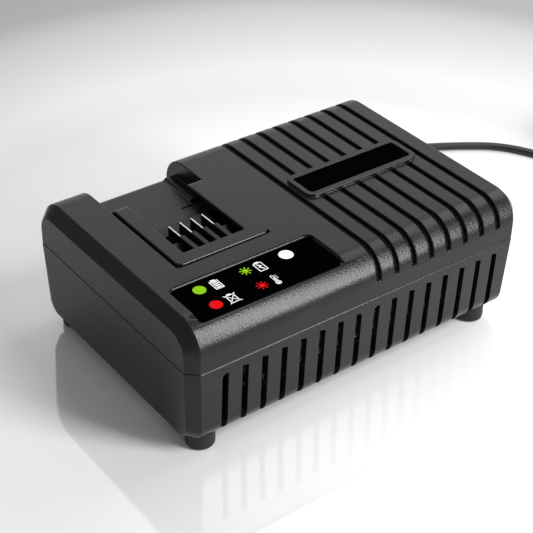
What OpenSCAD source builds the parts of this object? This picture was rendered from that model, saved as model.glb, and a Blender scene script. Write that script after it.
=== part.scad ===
// Battery charger for slide-on tool packs: two-shell case, rail dock, lamp panel,
// switched-mode board, cooling fan and mains lead.
// Millimetres, +Z up. X runs along the case, from the dock end to the grooved end.
// The origin is on the surface that the feet stand on, under the middle of the case.

/* [Case] */
// Length of the case along X
body_l = 200; // [190:1:230]
// Depth of the case along Y
body_w = 137; // [130:1:150]
// Height of the joint between the shells above the surface it stands on
parting_z = 50; // [48:1:56]
// Height of the top deck above the surface it stands on
deck_z = 73.7; // [72:0.1:84]
// Wall thickness of both shells
wall = 2.6; // [2:0.1:3]
// Leg of the bevel around each end of the case
end_bevel = 5.4; // [3:0.1:7]
// Radius along the front and back edges of the deck
top_round = 15; // [12:0.5:17]
// Radius along the front and back bottom edges
bottom_round = 10; // [8:0.5:12]
// How far the bottom shell's walls lean in by its underside
draft = 1.2; // [0.4:0.1:2]
// Rise of the end bevel at the underside
bottom_bevel = 2.6; // [1.5:0.1:4]
// Height of the case above the surface it stands on
foot_h = 7; // [5:0.5:8]

/* [Vents and grooves] */
// Distance from one slot to the next, and from one deck groove to the next
slot_pitch = 11; // [10.5:0.1:11.2]
// Number of vent slots in each long wall
slot_count = 16; // [10:1:16]
// Width of a vent slot
slot_w = 3.5; // [2.5:0.1:4]
// Distance from the shell joint down to the top of a slot
slot_drop = 5.2; // [5:0.1:9]
// Radius of the outer corners of each group of slots
slot_round = 2.4; // [0.5:0.1:2.5]
// Number of slots in a group
slot_group = 8; // [4:1:8]
// How far a slot runs in under the case
slot_reach = 4.3; // [3:0.1:5]
// Distance from the dock end of the case to the first slot
slot_start = 19; // [18.5:0.1:21]
// Number of grooves over the deck
groove_count = 8; // [5:1:8]
// Width of a deck groove
groove_w = 3; // [2:0.1:4]
// Depth of a deck groove
groove_d = 2.4; // [1.5:0.1:3]
// Distance from the shell joint up to the ends of a groove
groove_rise = 9.1; // [6:0.1:12]

/* [Dock] */
// Distance from the dock end of the case to the channel
channel_start = 24.1; // [22:0.1:26]
// Width of the channel that the pack slides in
channel_w = 52.8; // [52:0.1:56]
// Distance from the front of the case to the channel's closed end
channel_front = 45.9; // [45:0.1:50]
// Depth of the channel below the deck
channel_d = 11.5; // [11:0.1:13]
// Distance from the back of the case to where the channel floor turns down
channel_fall = 8.2; // [7:0.1:9]
// Radius where the channel floor turns down
channel_round = 4; // [3.5:0.5:6]
// Angle of the slope behind the channel floor
channel_slope = 57; // [52:1:60]
// Gap between the rail frame and the deck on its open side
rail_gap = 0.7; // [0.6:0.1:2]
// Height of the rail frame above the deck
rail_proud = 1; // [0.6:0.1:1.5]
// Length of the rails along Y
rail_l = 59.1; // [52:0.1:60]
// Thickness of the rail frame's lips
rail_lip = 2.4; // [2:0.1:3]
// Radius of the rounded ends of the rail frame's lips
rail_nose = 4; // [2:0.5:5]
// Width of the front bar of the rail frame
rail_bar = 8; // [5:0.1:9]
// Width of the lip on the dock-end side
rail_near = 7.9; // [6:0.1:8.5]
// Width of the lip on the grooved side
rail_far = 9.4; // [8:0.1:10]
// Thickness of the upright walls of the rail frame
rail_wall = 2.5; // [2:0.1:3]
// Corner radius of the rail frame
rail_round = 3; // [1.5:0.1:4]
// Thickness of a terminal blade
blade_t = 0.8; // [0.6:0.1:1]
// Length of a terminal blade along Y
blade_l = 11.2; // [9:0.1:12]
// Distance between terminal blades
blade_pitch = 6.35; // [6:0.05:6.6]
// Depth of the blades' top edges below the deck
blade_drop = 0.7; // [0.3:0.1:2]
// Width of the ribs in front of the blades
comb_w = 2.6; // [2:0.1:3]
// Height of the ribs' tops below the rails
comb_drop = 0.7; // [0.3:0.1:2]
// Length of the ribs, from the front bar to the blades
comb_l = 13; // [12:0.1:15]
// Length of the terminal block between the rails
block_l = 32; // [31:0.5:36]
// Depth of the terminal block's top below the deck
block_d = 5.5; // [4.5:0.1:7]

/* [Panel] */
// Distance from the dock end of the case to the lamp panel
panel_start = 10.5; // [9.5:0.1:12]
// Length of the lamp panel
panel_l = 80.9; // [76:0.1:84]
// Distance from the front of the case to the panel's back edge
panel_back = 34.8; // [32:0.1:36]
// Depth of the panel recess below the deck
panel_d = 2.3; // [1.6:0.1:2.6]
// Thickness of the panel's printed sheet
panel_t = 0.8; // [0.5:0.1:1]
// Gap around the printed sheet
panel_gap = 0.9; // [0.4:0.1:1.2]
// Radius of the corners of the panel recess and its sheet
panel_r = 4; // [2:0.1:5]
// Radius of the lamp window
lamp_r = 3.7; // [2.5:0.1:4]
// Distance from the dock end of the case to the lamp window
lamp_x = 72.9; // [68:0.1:76]
// Distance from the front of the case to the lamp window
lamp_y = 28.3; // [25:0.1:29.5]

/* [Name plate] */
// Length of the raised plate
plate_l = 71; // [60:0.5:74]
// Width of the raised plate
plate_w = 22; // [16:0.5:26]
// Height of the raised plate above the deck
plate_h = 1.7; // [1:0.1:2.5]
// Corner radius of the raised plate
plate_r = 5; // [3:0.1:7]
// Width of the plate's rim
plate_rim = 3.2; // [2:0.1:4]
// Depth of the label below the rim
label_inset = 0.6; // [0.4:0.1:1]
// Thickness of the label
label_t = 0.5; // [0.3:0.1:0.8]

/* [Feet and screws] */
// Radius of a foot
foot_r = 7.2; // [5:0.1:7.5]
// Depth that a foot is let into the case
foot_seat = 2; // [1.5:0.1:2.5]
// Distance of the dock-end feet from that end
foot_near = 12.5; // [12:0.1:14]
// Distance of the other feet from the grooved end
foot_far = 17; // [16:0.1:19]
// Distance of the feet from the front and back of the case
foot_side = 11.8; // [11:0.1:13]
// Distance of the case screws from the ends of the case
screw_end = 26; // [24:0.5:27]
// Distance of the case screws from the middle of the case, along Y
screw_side = 37; // [35:0.5:38]
// Radius of a case screw's shank
screw_r = 1.5; // [1.2:0.1:1.7]
// Radius of a case screw's head
screw_head = 3; // [2.5:0.1:3.2]
// How far a case screw reaches into the top shell
screw_bite = 7; // [6:0.5:8]

/* [Board] */
// Length of the main board
board_l = 124; // [120:1:126]
// Width of the main board
board_w = 100; // [98:1:101]
// Thickness of the boards
board_t = 1.6; // [1:0.1:2]
// Height of the main board's posts above the floor of the case
board_rise = 12; // [10:0.5:13]
// Distance of the board's holes from its edges
board_inset = 6; // [5:0.5:7]
// Radius of a board screw's shank
pin_r = 1.2; // [1:0.1:1.4]
// Height of the transformer
transformer_h = 27; // [24:1:28]
// Radius of the large capacitor
bulk_r = 11; // [8:0.5:12]
// Height of the large capacitor
bulk_h = 34; // [25:1:34]
// Radius of the ring choke
choke_r = 11; // [8:0.5:12]
// Height of the heat sinks
sink_h = 25; // [18:1:25]

/* [Fan] */
// Side of the fan's square frame
fan_side = 50; // [44:1:50]
// Thickness of the fan's frame
fan_t = 15; // [12:0.5:15]
// Distance of the fan's axis from the grooved end of the case
fan_from_end = 34; // [32:0.5:35]
// Gap between the fan blades and the frame
fan_tip_gap = 0.8; // [0.5:0.1:1.2]
// Radius of the fan's hub
hub_r = 12; // [10:0.5:13]
// Radius of the fan's shaft
shaft_r = 1.5; // [1:0.1:2]
// Number of fan blades
fan_blades = 7; // [5:1:9]

/* [Mains lead] */
// Width of the flat lead
cord_w = 5.8; // [5.6:0.1:6]
// Thickness of the flat lead
cord_t = 3.4; // [3.2:0.1:3.6]
// Distance of the lead's outlet from the grooved end of the case
cord_from_end = 76.5; // [74:0.5:79]
// Length of the strain relief outside the case
relief_l = 26; // [24:0.5:36]
// Angle by which the strain relief droops below the level
relief_droop = 25; // [15:1:35]
// Radius of the strain relief at the case
relief_r = 5; // [4.5:0.1:5.2]
// Length of the plug's body
plug_l = 36; // [30:1:38]
// Width of the plug's body
plug_w = 34; // [32:0.5:37]
// Thickness of the plug's body
plug_t = 13; // [12:0.5:14]
// Distance between the plug's pins
pin_gap = 18.6; // [17.5:0.1:19]
// Length of the plug's pins
pin_l = 19; // [17:0.5:20]

/* [Hidden] */
$fn = 48;

// Clearance between pieces that fit together
fit_gap = 0.2;
// Clearance round screws in their posts, blades in their slots and the fan's shaft
close_gap = 0.05;
// Overshoot of a cut past the face that it starts from
cut_over = 1;
// Thickness of the slices that a shell's outer form is stretched over
slice = 0.5;

// Ends and sides of the case
x_end = body_l / 2;
y_side = body_w / 2;
base_z = foot_h;
floor_z = base_z + wall;
dark = "#2e2f31";

// Dock
channel_x0 = -x_end + channel_start;
channel_x1 = channel_x0 + channel_w;
channel_y0 = -y_side + channel_front;
channel_z = deck_z - channel_d;
rail_x0 = channel_x0 + rail_gap;
rail_x1 = channel_x1 - fit_gap;
rail_y1 = channel_y0 + rail_l;
rail_top = deck_z + rail_proud;
tub_z = channel_z - wall;
ledge_w = 6.4;
ledge_end = 1.1;
ledge_h = 1.5;
// Terminal block: it fills a cut in the channel's floor between the rails
block_x0 = rail_x0 + rail_near;
block_x1 = rail_x1 - rail_far;
block_mid = (block_x0 + block_x1) / 2;
block_y0 = channel_y0 + rail_bar;
block_y1 = block_y0 + block_l;
block_z = deck_z - block_d;
plate_under = 2;
block_base = tub_z - plate_under;
pit_z = tub_z;
pit_l = 4.8;
side_pit_l = 6.5;
ramp_low = channel_z - 1.2;
ramp_high = block_z + 2.7;
comb_top = rail_top - comb_drop;
blade_y0 = block_y0 + comb_l + fit_gap;
blade_top = deck_z - blade_drop;
blade_tail = 6;
blade_at = [for (i = [0 : 3]) block_mid + (i - 1.5) * blade_pitch];
shallow_w = 4.2;
shallow_l = 17;
shallow_d = 0.6;
// Fixings of the rail frame: screws in its front bar and staked pegs in its walls
rail_screw_at = [for (x = [rail_x0 + 3.6, rail_x1 - 3.6]) [x, channel_y0 + 3.3]];
rail_peg_at = [for (x = [rail_x0 + rail_wall / 2, rail_x1 - rail_wall / 2]) [x, block_y1 + 5]];
peg_r = 1.1;
peg_head_r = 1.9;
peg_head_h = 0.8;

// Panel
recess_z = deck_z - panel_d;
panel_x0 = -x_end + panel_start;
panel_x1 = panel_x0 + panel_l;
panel_y1 = -y_side + panel_back;
panel_top = recess_z + panel_t;
// The sheet ends where its edge meets the rounded front edge of the deck
panel_fall = top_round - panel_d + panel_t / 2;
panel_y0 = -y_side + top_round - sqrt(top_round * top_round - panel_fall * panel_fall);
lamp_at = [-x_end + lamp_x, -y_side + lamp_y];
led_board_z = deck_z - 13;
led_board_l = 26;
led_board_w = 18;
led_h = 4;
led_bite = 6;
rail_bite = 6;
led_boss_r = 2.6;
led_screw_at = [for (s = [-1, 1]) [lamp_at[0] + s * 9, lamp_at[1]]];

// Grooves and slots
slot_x0 = -x_end + slot_start;
groove_x0 = slot_x0 + (slot_count - groove_count) * slot_pitch;
groove_mid = groove_x0 + (groove_count - 1) * slot_pitch / 2;
groove_wall = wall + groove_d;
thick_x = groove_x0 - slot_pitch / 2;

// Feet and screws
foot_at = [for (s = [-1, 1]) for (x = [-x_end + foot_near, x_end - foot_far]) [x, s * (y_side - foot_side)]];
screw_at = [for (s = [-1, 1]) for (e = [-1, 1]) [e * (x_end - screw_end), s * screw_side]];
screw_boss_r = screw_head + fit_gap + 1.4;
screw_seat = base_z + 12;
head_h = 2;

// Main board
board_z = floor_z + board_rise;
board_top = board_z + board_t;
board_x = -2;
board_y = -y_side + wall + draft + 2.6 + board_w / 2;
board_back = board_y + board_w / 2;
board_margin = 1;
rail_grip = 2;
fan_y0 = y_side - wall - draft - fan_t - 4;
board_hole_y = [board_y - board_w / 2 + board_inset,
    min(board_back, fan_y0 - rail_grip - board_margin) - board_inset];
board_holes = [for (y = board_hole_y) for (e = [-1, 1]) [board_x + e * (board_l / 2 - board_inset), y]];
board_post_r = 3.4;

// Places on the board, from its middle
transformer_at = [board_x - 4, board_y + 4];
core_l = 34;
core_d = 14;
core_w = 26;
core_leg = 9;
core_yoke = 5.5;
core_low = board_top + 4;
window_out = core_l - 2 * 5.5;
window_low = core_low + core_yoke;
window_high = core_low + transformer_h - core_yoke;
bobbin_t = 1;
front_row = 24;
output_row = 28;
sink_row = 28;
fuse_row = 18;
bulk_column = 21;
bridge_column = 24;
switch_column = 12;
mains_column = 46;
rectifier_column = 40;
output_column = 38;
bulk_at = [board_x + bulk_column, board_y - front_row];
choke_at = [board_x + mains_column + 2.5, board_y - front_row];
choke_hole = 5.5;
choke_t = 9;
filter_at = [board_x + mains_column, board_y + 4];
filter_size = [18, 8, 15];
fuse_at = [board_x + mains_column, board_y + fuse_row];
fuse_r = 2.6;
fuse_l = 20;
bridge_at = [board_x + bridge_column, board_y + 3];
bridge_size = [15, 3.5, 14];
sink_t = 3;
sink_l = 40;
primary_at = [board_x + switch_column, board_y + sink_row];
secondary_at = [board_x - rectifier_column, board_y - 2];
package_size = [10, 4.4, 15];
package_rise = 6;
sink_screw_r = 1.4;
sink_head_r = 2.6;
output_at = [board_x - output_column, board_y - output_row];
output_r = 6.3;
output_h = 24;
output_step = 15;

// Fan
fan_x = x_end - fan_from_end;
fan_z = floor_z + foot_seat + fit_gap + fan_side / 2;
fan_bore = fan_side / 2 - 1.5;
fan_hole_in = 5;
fan_tip = fan_bore - fan_tip_gap;
hub_d = 9;
strut_t = 2;
boss_r = 4;
fan_lead_out = 10;

// Mains lead
cord_x = x_end - cord_from_end;
relief_flange = 6.4;
relief_flange_t = 2;
relief_neck = 4.2;
relief_seat = 4;
relief_collar = relief_r * sin(relief_droop) + 0.5;
relief_bend_y = y_side + fit_gap + relief_collar;
relief_taper_l = relief_l - fit_gap - relief_collar;
relief_tip = [cord_x, relief_bend_y + relief_taper_l * cos(relief_droop),
    parting_z - relief_taper_l * sin(relief_droop)];
relief_inner = y_side - wall - fit_gap - relief_flange_t;
clamp_in = 21;
clamp_y = y_side - wall - clamp_in;
clamp_screw_gap = 12;
clamp_t = 3;
clamp_w = 8;
clamp_l = 20;
// Route of the lead outside the case, from the strain relief to the coil
cord_route = [
    [23.5, 92.4, 40.2], [23.5, 98.2, 37.2], [23.9, 103.9, 33.1], [25.3, 109.2, 27.9], [28, 113.8, 22.2],
    [32, 117.9, 16.4], [37.5, 121.2, 11], [44.5, 123.6, 6.6], [52.8, 124.8, 3.6], [62, 124.6, 2.1],
    [72, 123.4, 1.7], [84, 121.4, 1.7], [98, 118, 1.7], [112, 114, 1.7], [126, 109.3, 1.7],
    [140, 104, 1.7], [154, 98.4, 1.7], [168, 91.9, 1.7], [182, 84.5, 1.7], [194, 77.5, 1.7],
    [204, 71, 1.7], [213, 64.5, 1.7], [220, 57.5, 1.7], [226, 49, 1.7], [231, 39.5, 1.7],
    [235.5, 29, 1.7], [240, 18, 1.7], [244, 8, 1.8], [248, 0, 2.1]
];
coil_at = [284, 20];
coil_mean = 32;
coil_cols = 3;
coil_step = 6;
coil_layers = 3;
coil_in = coil_mean - coil_cols * coil_step / 2;
coil_out = coil_mean + coil_cols * coil_step / 2;
tie_t = 0.5;
tie_w = 12;
coil_h = coil_layers * cord_t + 0.6;
coil_top = tie_t + coil_h;
plug_at = [coil_at[0] - 13 + plug_l / 2, coil_at[1] - coil_mean];
tail_route = [[251, 0, 9.6], [255, -4.5, 10.8], [260, -8.5, 13.2], [265, -11, 16], [271, -12, 17.8]];

// An oval tube along a route of points. Its width lies across both the route and the direction over.
function unit(v) = v / norm(v);
function heading(p, i) = unit(p[min(i + 1, len(p) - 1)] - p[max(i - 1, 0)]);
function ring(p, i, w, h, n, over) = let (t = heading(p, i), s = unit(cross(t, over)), u = cross(s, t))
    [for (k = [0 : n - 1]) p[i] + s * (w / 2 * cos(360 * k / n)) + u * (h / 2 * sin(360 * k / n))];
function mix(a, b, f) = a + (b - a) * f;

module oval_tube(p, w, h, n = 10, over = [0, 0, 1]) {
    rings = len(p);
    points = [for (i = [0 : rings - 1]) each ring(p, i, w, h, n, over)];
    sides = [for (i = [0 : rings - 2]) for (k = [0 : n - 1])
        each [[i * n + k, i * n + (k + 1) % n, (i + 1) * n + (k + 1) % n],
              [i * n + k, (i + 1) * n + (k + 1) % n, (i + 1) * n + k]]];
    first = [for (k = [n - 1 : -1 : 0]) k];
    last = [for (k = [0 : n - 1]) (rings - 1) * n + k];
    polyhedron(points, concat(sides, [first, last]));
}

// A cylinder lying along X, and one lying along Y
module bar_x(r, l) { rotate([0, 90, 0]) cylinder(r = r, h = l, center = true); }
module bar_y(r, l) { rotate([-90, 0, 0]) cylinder(r = r, h = l); }

// A box given by its low and high corners
module block(low, high) { translate(low) cube(high - low); }

// A rounded plate lying flat
module rounded_plate(l, w, r, t) {
    linear_extrude(t) union() {
        square([l - 2 * r, w], center = true);
        square([l, w - 2 * r], center = true);
        for (a = [-1, 1]) for (b = [-1, 1]) translate([a * (l / 2 - r), b * (w / 2 - r)]) circle(r);
    }
}

// Leg of a bevel on a form that is inset by a wall
function inset_bevel(leg, inset) = max(0.3, leg - inset * (2 - sqrt(2)));

// Outer form of the top shell, or of its hollow when inset by a wall
module top_form(inset) {
    l = body_l - 2 * inset;
    w = body_w - 2 * inset;
    top = deck_z - inset;
    r = top_round - inset;
    b = inset_bevel(end_bevel, inset);
    hull() {
        for (s = [-1, 1]) translate([0, s * (w / 2 - r), top - r]) {
            bar_x(r, l - 2 * b);
            bar_x(r - b, l);
        }
        translate([0, 0, parting_z + slice / 2]) {
            cube([l - 2 * b, w, slice], center = true);
            cube([l, w - 2 * b, slice], center = true);
        }
    }
}

// Outer form of the bottom shell, or of its hollow when inset by a wall
module bottom_form(inset) {
    l = body_l - 2 * inset;
    w = body_w - 2 * inset;
    low = base_z + inset;
    r = bottom_round - inset;
    b = inset_bevel(end_bevel, inset);
    rise = inset_bevel(bottom_bevel, inset);
    end_r = r - rise;
    hull() {
        translate([0, 0, parting_z - slice / 2]) {
            cube([l - 2 * b, w, slice], center = true);
            cube([l, w - 2 * b, slice], center = true);
        }
        for (s = [-1, 1]) {
            translate([0, s * (w / 2 - draft - r), low + r]) bar_x(r, l - 2 * (b + draft));
            translate([0, s * (w / 2 - draft - b - end_r), low + rise + end_r]) bar_x(end_r, l - 2 * draft);
        }
    }
}

// Hollow of the top shell: thinner under the grooves, where the deck needs more wall
module top_hollow() {
    intersection() {
        top_form(wall);
        block([-x_end, -y_side, 0], [thick_x, y_side, deck_z]);
    }
    top_form(groove_wall);
}

// Section of the pack's channel, with the rounded edge and the slope at its back
module channel_area(drop) {
    back = y_side + cut_over;
    r = channel_round - drop;
    mid = [y_side - channel_fall, channel_z - channel_round];
    turn = mid + r * [sin(channel_slope), cos(channel_slope)];
    end_z = turn[1] - (back - turn[0]) * tan(channel_slope);
    difference() {
        union() {
            translate([channel_y0 - drop, channel_z - drop])
                square([back - channel_y0 + drop, channel_d + drop + rail_proud + cut_over]);
            polygon([mid, turn, [back, end_z], [back, channel_z], [mid[0], channel_z]]);
        }
        translate(mid) circle(r);
    }
}

// The space of the channel, grown by drop for the tub round it
module channel_solid(drop) {
    translate([channel_x0 - drop, 0, 0]) rotate([90, 0, 90])
        linear_extrude(channel_w + 2 * drop) channel_area(drop);
}

module groove_cuts() {
    z = parting_z + groove_rise + groove_w / 2;
    difference() {
        for (i = [0 : groove_count - 1]) translate([groove_x0 + i * slot_pitch, 0, 0]) {
            block([-groove_w / 2, -y_side - cut_over, z],
                  [groove_w / 2, y_side + cut_over, deck_z + cut_over]);
            translate([0, -y_side - cut_over, z]) bar_y(groove_w / 2, body_w + 2 * cut_over);
        }
        top_form(groove_d);
        plate_solid();
    }
}

module plate_solid() {
    translate([groove_mid, 0, deck_z - groove_wall])
        rounded_plate(plate_l, plate_w, plate_r, groove_wall + plate_h);
}

// Plan of the raised plate inside its rim, drawn back by a gap
module plate_inside(gap, t) {
    off = plate_rim + gap;
    translate([groove_mid, 0, deck_z + plate_h - label_inset])
        rounded_plate(plate_l - 2 * off, plate_w - 2 * off, max(1, plate_r - plate_rim) - gap, t);
}

// Front view of a slot, with a round corner on the side given by round_side
module slot_area(round_side) {
    tall = parting_z - slot_drop - base_z + cut_over;
    difference() {
        translate([-slot_w / 2, 0]) square([slot_w, tall]);
        if (round_side != 0) translate([round_side * (slot_w / 2 - slot_round), tall - slot_round])
            difference() {
                translate([round_side > 0 ? 0 : -slot_round - cut_over, 0]) square(slot_round + cut_over);
                circle(slot_round);
            }
    }
}

// The vents run from under the shell joint round the bottom edge
module slot_cuts() {
    reach = slot_reach + draft + cut_over;
    for (i = [0 : slot_count - 1]) {
        place = i % slot_group;
        round_side = place == 0 ? -1 : place == slot_group - 1 ? 1 : 0;
        for (y = [-y_side - cut_over + reach, y_side + cut_over])
            translate([slot_x0 + i * slot_pitch, y, base_z - cut_over]) rotate([90, 0, 0])
                linear_extrude(reach) slot_area(round_side);
    }
}

// Hole for the strain relief's neck, with a pocket for its flange
module relief_hole() {
    translate([cord_x, relief_inner - relief_seat, parting_z])
        bar_y(relief_neck + fit_gap, y_side - relief_inner + relief_seat + cut_over);
    translate([cord_x, relief_inner - fit_gap, parting_z])
        bar_y(relief_flange + fit_gap, relief_flange_t + 2 * fit_gap);
}

module bottom_housing() {
    color(dark) difference() {
        bottom_form(0);
        difference() {
            bottom_form(wall);
            bottom_features();
        }
        slot_cuts();
        relief_hole();
        for (p = foot_at) translate([p[0], p[1], base_z - cut_over])
            cylinder(r = foot_r + fit_gap, h = foot_seat + cut_over);
        for (p = screw_at) translate([p[0], p[1], 0]) {
            cylinder(r = screw_head + fit_gap, h = screw_seat);
            cylinder(r = screw_r + fit_gap, h = parting_z + cut_over);
        }
        for (p = board_holes) translate([p[0], p[1], floor_z]) cylinder(r = pin_r, h = board_rise + cut_over);
        for (s = [-1, 1]) translate([cord_x + s * clamp_screw_gap / 2, clamp_y, floor_z])
            cylinder(r = pin_r, h = parting_z);
    }
}

// Posts and ribs inside the bottom shell
module bottom_features() {
    for (p = foot_at) translate([p[0], p[1], base_z]) cylinder(r = foot_r + 1.6, h = foot_seat + wall);
    for (p = screw_at) translate([p[0], p[1], base_z]) cylinder(r = screw_boss_r, h = parting_z - base_z);
    for (p = board_holes) translate([p[0], p[1], base_z]) cylinder(r = board_post_r, h = board_z - base_z);
    block([cord_x - clamp_l / 2, clamp_y - clamp_w / 2, base_z],
          [cord_x + clamp_l / 2, clamp_y + clamp_w / 2, parting_z - cord_t / 2]);
    relief_block(parting_z - relief_flange - 3, parting_z);
    fan_cradle();
}

// Solid wall round the strain relief's flange, between two heights
module relief_block(low, high) {
    half = relief_flange + 1.5;
    block([cord_x - half, relief_inner - relief_seat + 1, low], [cord_x + half, y_side, high]);
}

// Four upright ribs that grip the fan's frame, and the pads that it stands on
module fan_cradle() {
    edge = fan_side / 2 + fit_gap;
    for (s = [-1, 1]) {
        for (y = [fan_y0 - rail_grip - fit_gap, fan_y0 + fan_t + fit_gap])
            block([fan_x + s * (edge - 2) - 3, y, base_z],
                  [fan_x + s * (edge - 2) + 3, y + rail_grip, fan_z]);
        block([fan_x + s * (edge - 4) - 3, fan_y0 - rail_grip, base_z],
              [fan_x + s * (edge - 4) + 3, fan_y0 + fan_t + rail_grip, fan_z - fan_side / 2]);
    }
}

module top_housing() {
    color(dark) difference() {
        union() {
            difference() {
                intersection() {
                    top_form(0);
                    block([-body_l, -body_w, parting_z], [body_l, body_w, deck_z + cut_over]);
                }
                difference() {
                    top_hollow();
                    top_features();
                }
            }
            plate_solid();
        }
        difference() {
            channel_solid(0);
            channel_ledges();
        }
        groove_cuts();
        panel_cut();
        relief_hole();
        plate_inside(0, cut_over + label_inset);
        for (p = screw_at) translate([p[0], p[1], parting_z - cut_over])
            cylinder(r = screw_r + close_gap, h = screw_bite + cut_over + 1);
        block([block_x0, block_y0, tub_z - cut_over], [block_x1, block_y1, channel_z + cut_over]);
        block([block_x1 - shallow_w, block_y1 + 4, channel_z - shallow_d],
              [rail_x1 - rail_wall, block_y1 + shallow_l, channel_z + cut_over]);
        for (p = concat(rail_screw_at, rail_peg_at)) translate([p[0], p[1], tub_z - cut_over])
            cylinder(r = pin_r + fit_gap, h = wall + 2 * cut_over);
        translate([lamp_at[0], lamp_at[1], recess_z - 10]) cylinder(r = lamp_r + fit_gap, h = 12);
        for (p = led_screw_at) translate([p[0], p[1], led_board_z])
            cylinder(r = pin_r, h = led_bite + cut_over);
    }
}

// The channel's tub, the posts and the wall under the panel, inside the top shell
module top_features() {
    channel_solid(wall);
    for (p = screw_at) translate([p[0], p[1], parting_z - cut_over])
        cylinder(r = screw_boss_r, h = deck_z - parting_z + cut_over);
    for (p = led_screw_at) translate([p[0], p[1], led_board_z + board_t])
        cylinder(r = led_boss_r, h = deck_z - led_board_z);
    block([panel_x0 - wall, -y_side, recess_z - wall], [panel_x1 + wall, panel_y1 + wall, deck_z]);
    relief_block(parting_z - cut_over, parting_z + relief_flange + 3);
    for (s = [-1, 1]) block([fan_x + s * fan_side / 3 - 1, fan_y0 + 2, fan_z + fan_side / 2 + fit_gap],
                            [fan_x + s * fan_side / 3 + 1, fan_y0 + fan_t - 2, deck_z]);
}

// Ledges along the foot of the channel's side walls behind the rails, sloped on their inner edge
module channel_ledges() {
    y0 = rail_y1 + fit_gap;
    y1 = y_side - channel_fall + ledge_end;
    top = channel_z + ledge_h;
    for (s = [-1, 1]) {
        wall_x = s < 0 ? channel_x0 - cut_over : channel_x1 + cut_over;
        foot_x = s < 0 ? channel_x0 + ledge_w : channel_x1 - ledge_w;
        translate([0, y1, 0]) rotate([90, 0, 0]) linear_extrude(y1 - y0)
            polygon([[wall_x, channel_z - ledge_h], [foot_x, channel_z - ledge_h], [foot_x, channel_z],
                     [foot_x + s * ledge_h, top], [wall_x, top]]);
    }
}

// The recess for the printed sheet, open where the deck rounds down to the front
module panel_cut() {
    long = panel_y1 + y_side + panel_r + cut_over;
    translate([(panel_x0 + panel_x1) / 2, panel_y1 - long / 2, recess_z])
        rounded_plate(panel_l, long, panel_r, panel_d + cut_over);
}

module panel_label() {
    l = panel_l - 2 * panel_gap;
    w = panel_y1 - panel_gap - panel_y0;
    color("#050505") difference() {
        translate([(panel_x0 + panel_x1) / 2, panel_y0 + w / 2, recess_z])
            rounded_plate(l, w, max(0.5, panel_r - panel_gap), panel_t);
        translate([lamp_at[0], lamp_at[1], recess_z - cut_over])
            cylinder(r = lamp_r + close_gap, h = panel_t + 2 * cut_over);
    }
}

module name_label() {
    color("#060606") plate_inside(fit_gap, label_t);
}

module light_pipe() {
    led_top = led_board_z + board_t + led_h;
    color("#f4f6f8") translate([lamp_at[0], lamp_at[1], led_top])
        cylinder(r = lamp_r, h = panel_top - led_top);
}

module led_board() {
    color("#2f6b3c") difference() {
        block([lamp_at[0] - led_board_l / 2, lamp_at[1] - led_board_w / 2, led_board_z],
              [lamp_at[0] + led_board_l / 2, lamp_at[1] + led_board_w / 2, led_board_z + board_t]);
        for (p = led_screw_at) translate([p[0], p[1], led_board_z - cut_over])
            cylinder(r = pin_r + fit_gap, h = board_t + 2 * cut_over);
    }
}

// A pan-head screw pointing up, with its seat at the origin
module pan_screw(r, head, h, l) {
    cylinder(r = r, h = l);
    translate([0, 0, -h]) cylinder(r = head, h = h);
}

module small_screw(l) { pan_screw(pin_r - close_gap, 2.3, 1.5, l); }

module led_board_screws() {
    color("#a9adb2") for (p = led_screw_at) translate([p[0], p[1], led_board_z]) small_screw(led_bite);
}

module status_led() {
    color("#f1e9b6") translate([lamp_at[0], lamp_at[1], led_board_z + board_t]) cylinder(r = 2.5, h = led_h);
}

// Flat lead from the lamp board down to the main board
module led_lead() {
    x = lamp_at[0] + led_board_l / 2 - 3;
    y = lamp_at[1] + led_board_w / 2 - 3;
    route = [for (f = [[0, 0], [1, 0.15], [3, 0.35], [3, 0.65], [1, 0.85], [0, 1]])
        [x + f[0], y, mix(led_board_z, board_top, f[1])]];
    color("#8a8d91") oval_tube(route, 3.2, 1.1, 8, [1, 0, 0]);
}

module rubber_feet() {
    color("#26272a") for (p = foot_at) translate([p[0], p[1], 0]) {
        cylinder(r1 = foot_r - 0.8, r2 = foot_r, h = 0.8);
        translate([0, 0, 0.8]) cylinder(r = foot_r, h = base_z + foot_seat - 0.8);
    }
}

module case_screws() {
    color("#8f9398") for (p = screw_at) translate([p[0], p[1], screw_seat])
        pan_screw(screw_r, screw_head, head_h, parting_z - screw_seat + screw_bite);
}

// U-shaped rail frame: lips on upright walls, closed by a bar at the front
module dock_frame() {
    foot = channel_y0 + fit_gap;
    under_lip = rail_top - rail_lip;
    color(dark) difference() {
        union() {
            translate([0, 0, under_lip]) linear_extrude(rail_lip) rail_plan();
            for (x = [rail_x0, rail_x1 - rail_wall])
                block([x, foot, channel_z], [x + rail_wall, rail_y1, under_lip]);
            block([rail_x0, foot, channel_z], [rail_x1, block_y0, under_lip]);
            for (p = rail_peg_at) translate([p[0], p[1], block_base]) {
                cylinder(r = peg_r, h = channel_z - block_base);
                translate([0, 0, -peg_head_h]) cylinder(r = peg_head_r, h = peg_head_h);
            }
        }
        for (p = rail_screw_at) translate([p[0], p[1], channel_z - cut_over])
            cylinder(r = pin_r, h = rail_bite + 1 + cut_over);
        rail_nose_cut();
    }
}

// What the rounded lead-in takes off the open ends of the rail frame
module rail_nose_cut() {
    y0 = rail_y1 - rail_nose;
    z0 = rail_top - rail_nose;
    difference() {
        block([rail_x0 - cut_over, y0, z0], [rail_x1 + cut_over, rail_y1 + cut_over, rail_top + cut_over]);
        translate([rail_x0 - 2 * cut_over, y0, z0]) rotate([0, 90, 0])
            cylinder(r = rail_nose, h = rail_x1 - rail_x0 + 4 * cut_over);
    }
}

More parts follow.
